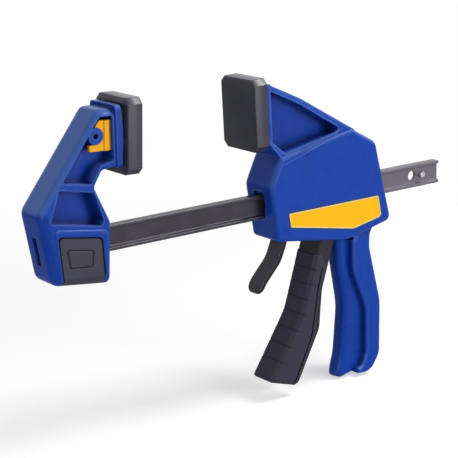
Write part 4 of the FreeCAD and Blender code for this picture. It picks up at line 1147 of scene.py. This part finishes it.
@dataclass
class TriggerDrive(SubAssembly):
    """Trigger with its skin, and the plates and springs that grip the bar."""

    drive_turns: int = 4
    brake_turns: int = 2

    def nodes(self) -> dict[str, Finish]:
        """Names the CAD nodes with their finishes."""
        return {"trigger_core": BLACK_MOULDING, "trigger_grip": GRIP_RUBBER, "drive_plate_1": PLATE_STEEL,
                "drive_plate_2": PLATE_STEEL, "brake_plate": PLATE_STEEL, "release_lever": LEVER_MOULDING,
                "drive_spring": SPRING_STEEL, "brake_spring": SPRING_STEEL}

    def pieces(self) -> list[Piece]:
        """Lists the grip's skin with the dark beads of painted shadow along its rear edges, and the two coils on the
        bar.
        """
        grip_gap_shadows = [GripGapShadow(f"grip_gap_shadow_{side.name.lower()}", "trigger", BLACK_MOULDING, side=side) for side in Side]
        return [TriggerGrip("trigger_grip_rubber", "trigger", GRIP_RUBBER, ("trigger_grip",)), *grip_gap_shadows,
                CoilSpring("drive_spring_coil", "movable_jaw", SPRING_STEEL, ("drive_spring",), turns=self.drive_turns),
                CoilSpring("brake_spring_coil", "movable_jaw", SPRING_STEEL, ("brake_spring",), turns=self.brake_turns)]


@dataclass
class FixedJaw(SubAssembly):
    """Fixed jaw on the bar, with its swivelling pad and its push-button latch."""

    pad_face: Point = (-0.1031, 0.0, 0.0)
    pad_lean: float = 2.17
    pad_socket: Point = (0.0031, 0.0278, 0.0402)
    gap_shadow_line: Outline = (
        (-0.1714, -0.0975), (-0.1743, -0.0636), (-0.1372, -0.0697), (-0.1357, -0.0985), (-0.1368, -0.0985),
        (-0.1383, -0.0706), (-0.1731, -0.0648), (-0.1704, -0.0975))

    def nodes(self) -> dict[str, Finish]:
        """Names the CAD nodes with their finishes."""
        return {"bar": BAR_STEEL, "stop_pin": PIN_STEEL, "fixed_jaw": FOOT_MOULDING, "latch_block": LATCH_MOULDING,
                "push_button": LATCH_MOULDING, "latch_pin": PIN_STEEL, "button_spring": SPRING_STEEL,
                "pad_carrier": YELLOW_MOULDING, "swivel_pad": PAD_RUBBER}

    def pieces(self) -> list[Piece]:
        """Lists the borders round the latch block with the dark strips of painted shadow inside them, the swivelling
        pad and the button's coil.
        """
        rims = [FootRim(f"foot_rim_{side.name.lower()}", "bar", FOOT_MOULDING, side=side) for side in Side]
        gap_shadows = [FootRim(f"latch_gap_shadow_{side.name.lower()}", "bar", JOINT_SHADE, side=side, surface=0.0163,
                          proud=0.0001, sunk=0.0003, rim=0.00004, corner=0.0029, outline=self.gap_shadow_line)
                  for side in Side]
        return [*rims, *gap_shadows,
                JawPad("swivel_pad_rubber", "pad_hinge", PAD_RUBBER, ("swivel_pad",), face=self.pad_face,
                       lean=self.pad_lean, facing=Facing.TO_FIXED_END, socket=self.pad_socket),
                CoilSpring("button_spring_coil", "bar", SPRING_STEEL, ("button_spring",), axis=(0.0, 1.0, 0.0),
                           out=(-1.0, 0.0, 0.0), radius=0.003, wire=0.0006, turns=3)]


def main() -> None:
    """Sets the studio and builds the sub-assemblies in order."""
    logging.basicConfig(level=logging.INFO, format="%(message)s")
    cad_box = [list(corner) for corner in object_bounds()]
    Studio().build(cad_box[0][2] - FLOOR_GAP)
    for assembly in (MovableJaw(), TriggerDrive(), FixedJaw()):
        assembly.build()


if __name__ == "__main__":
    main()
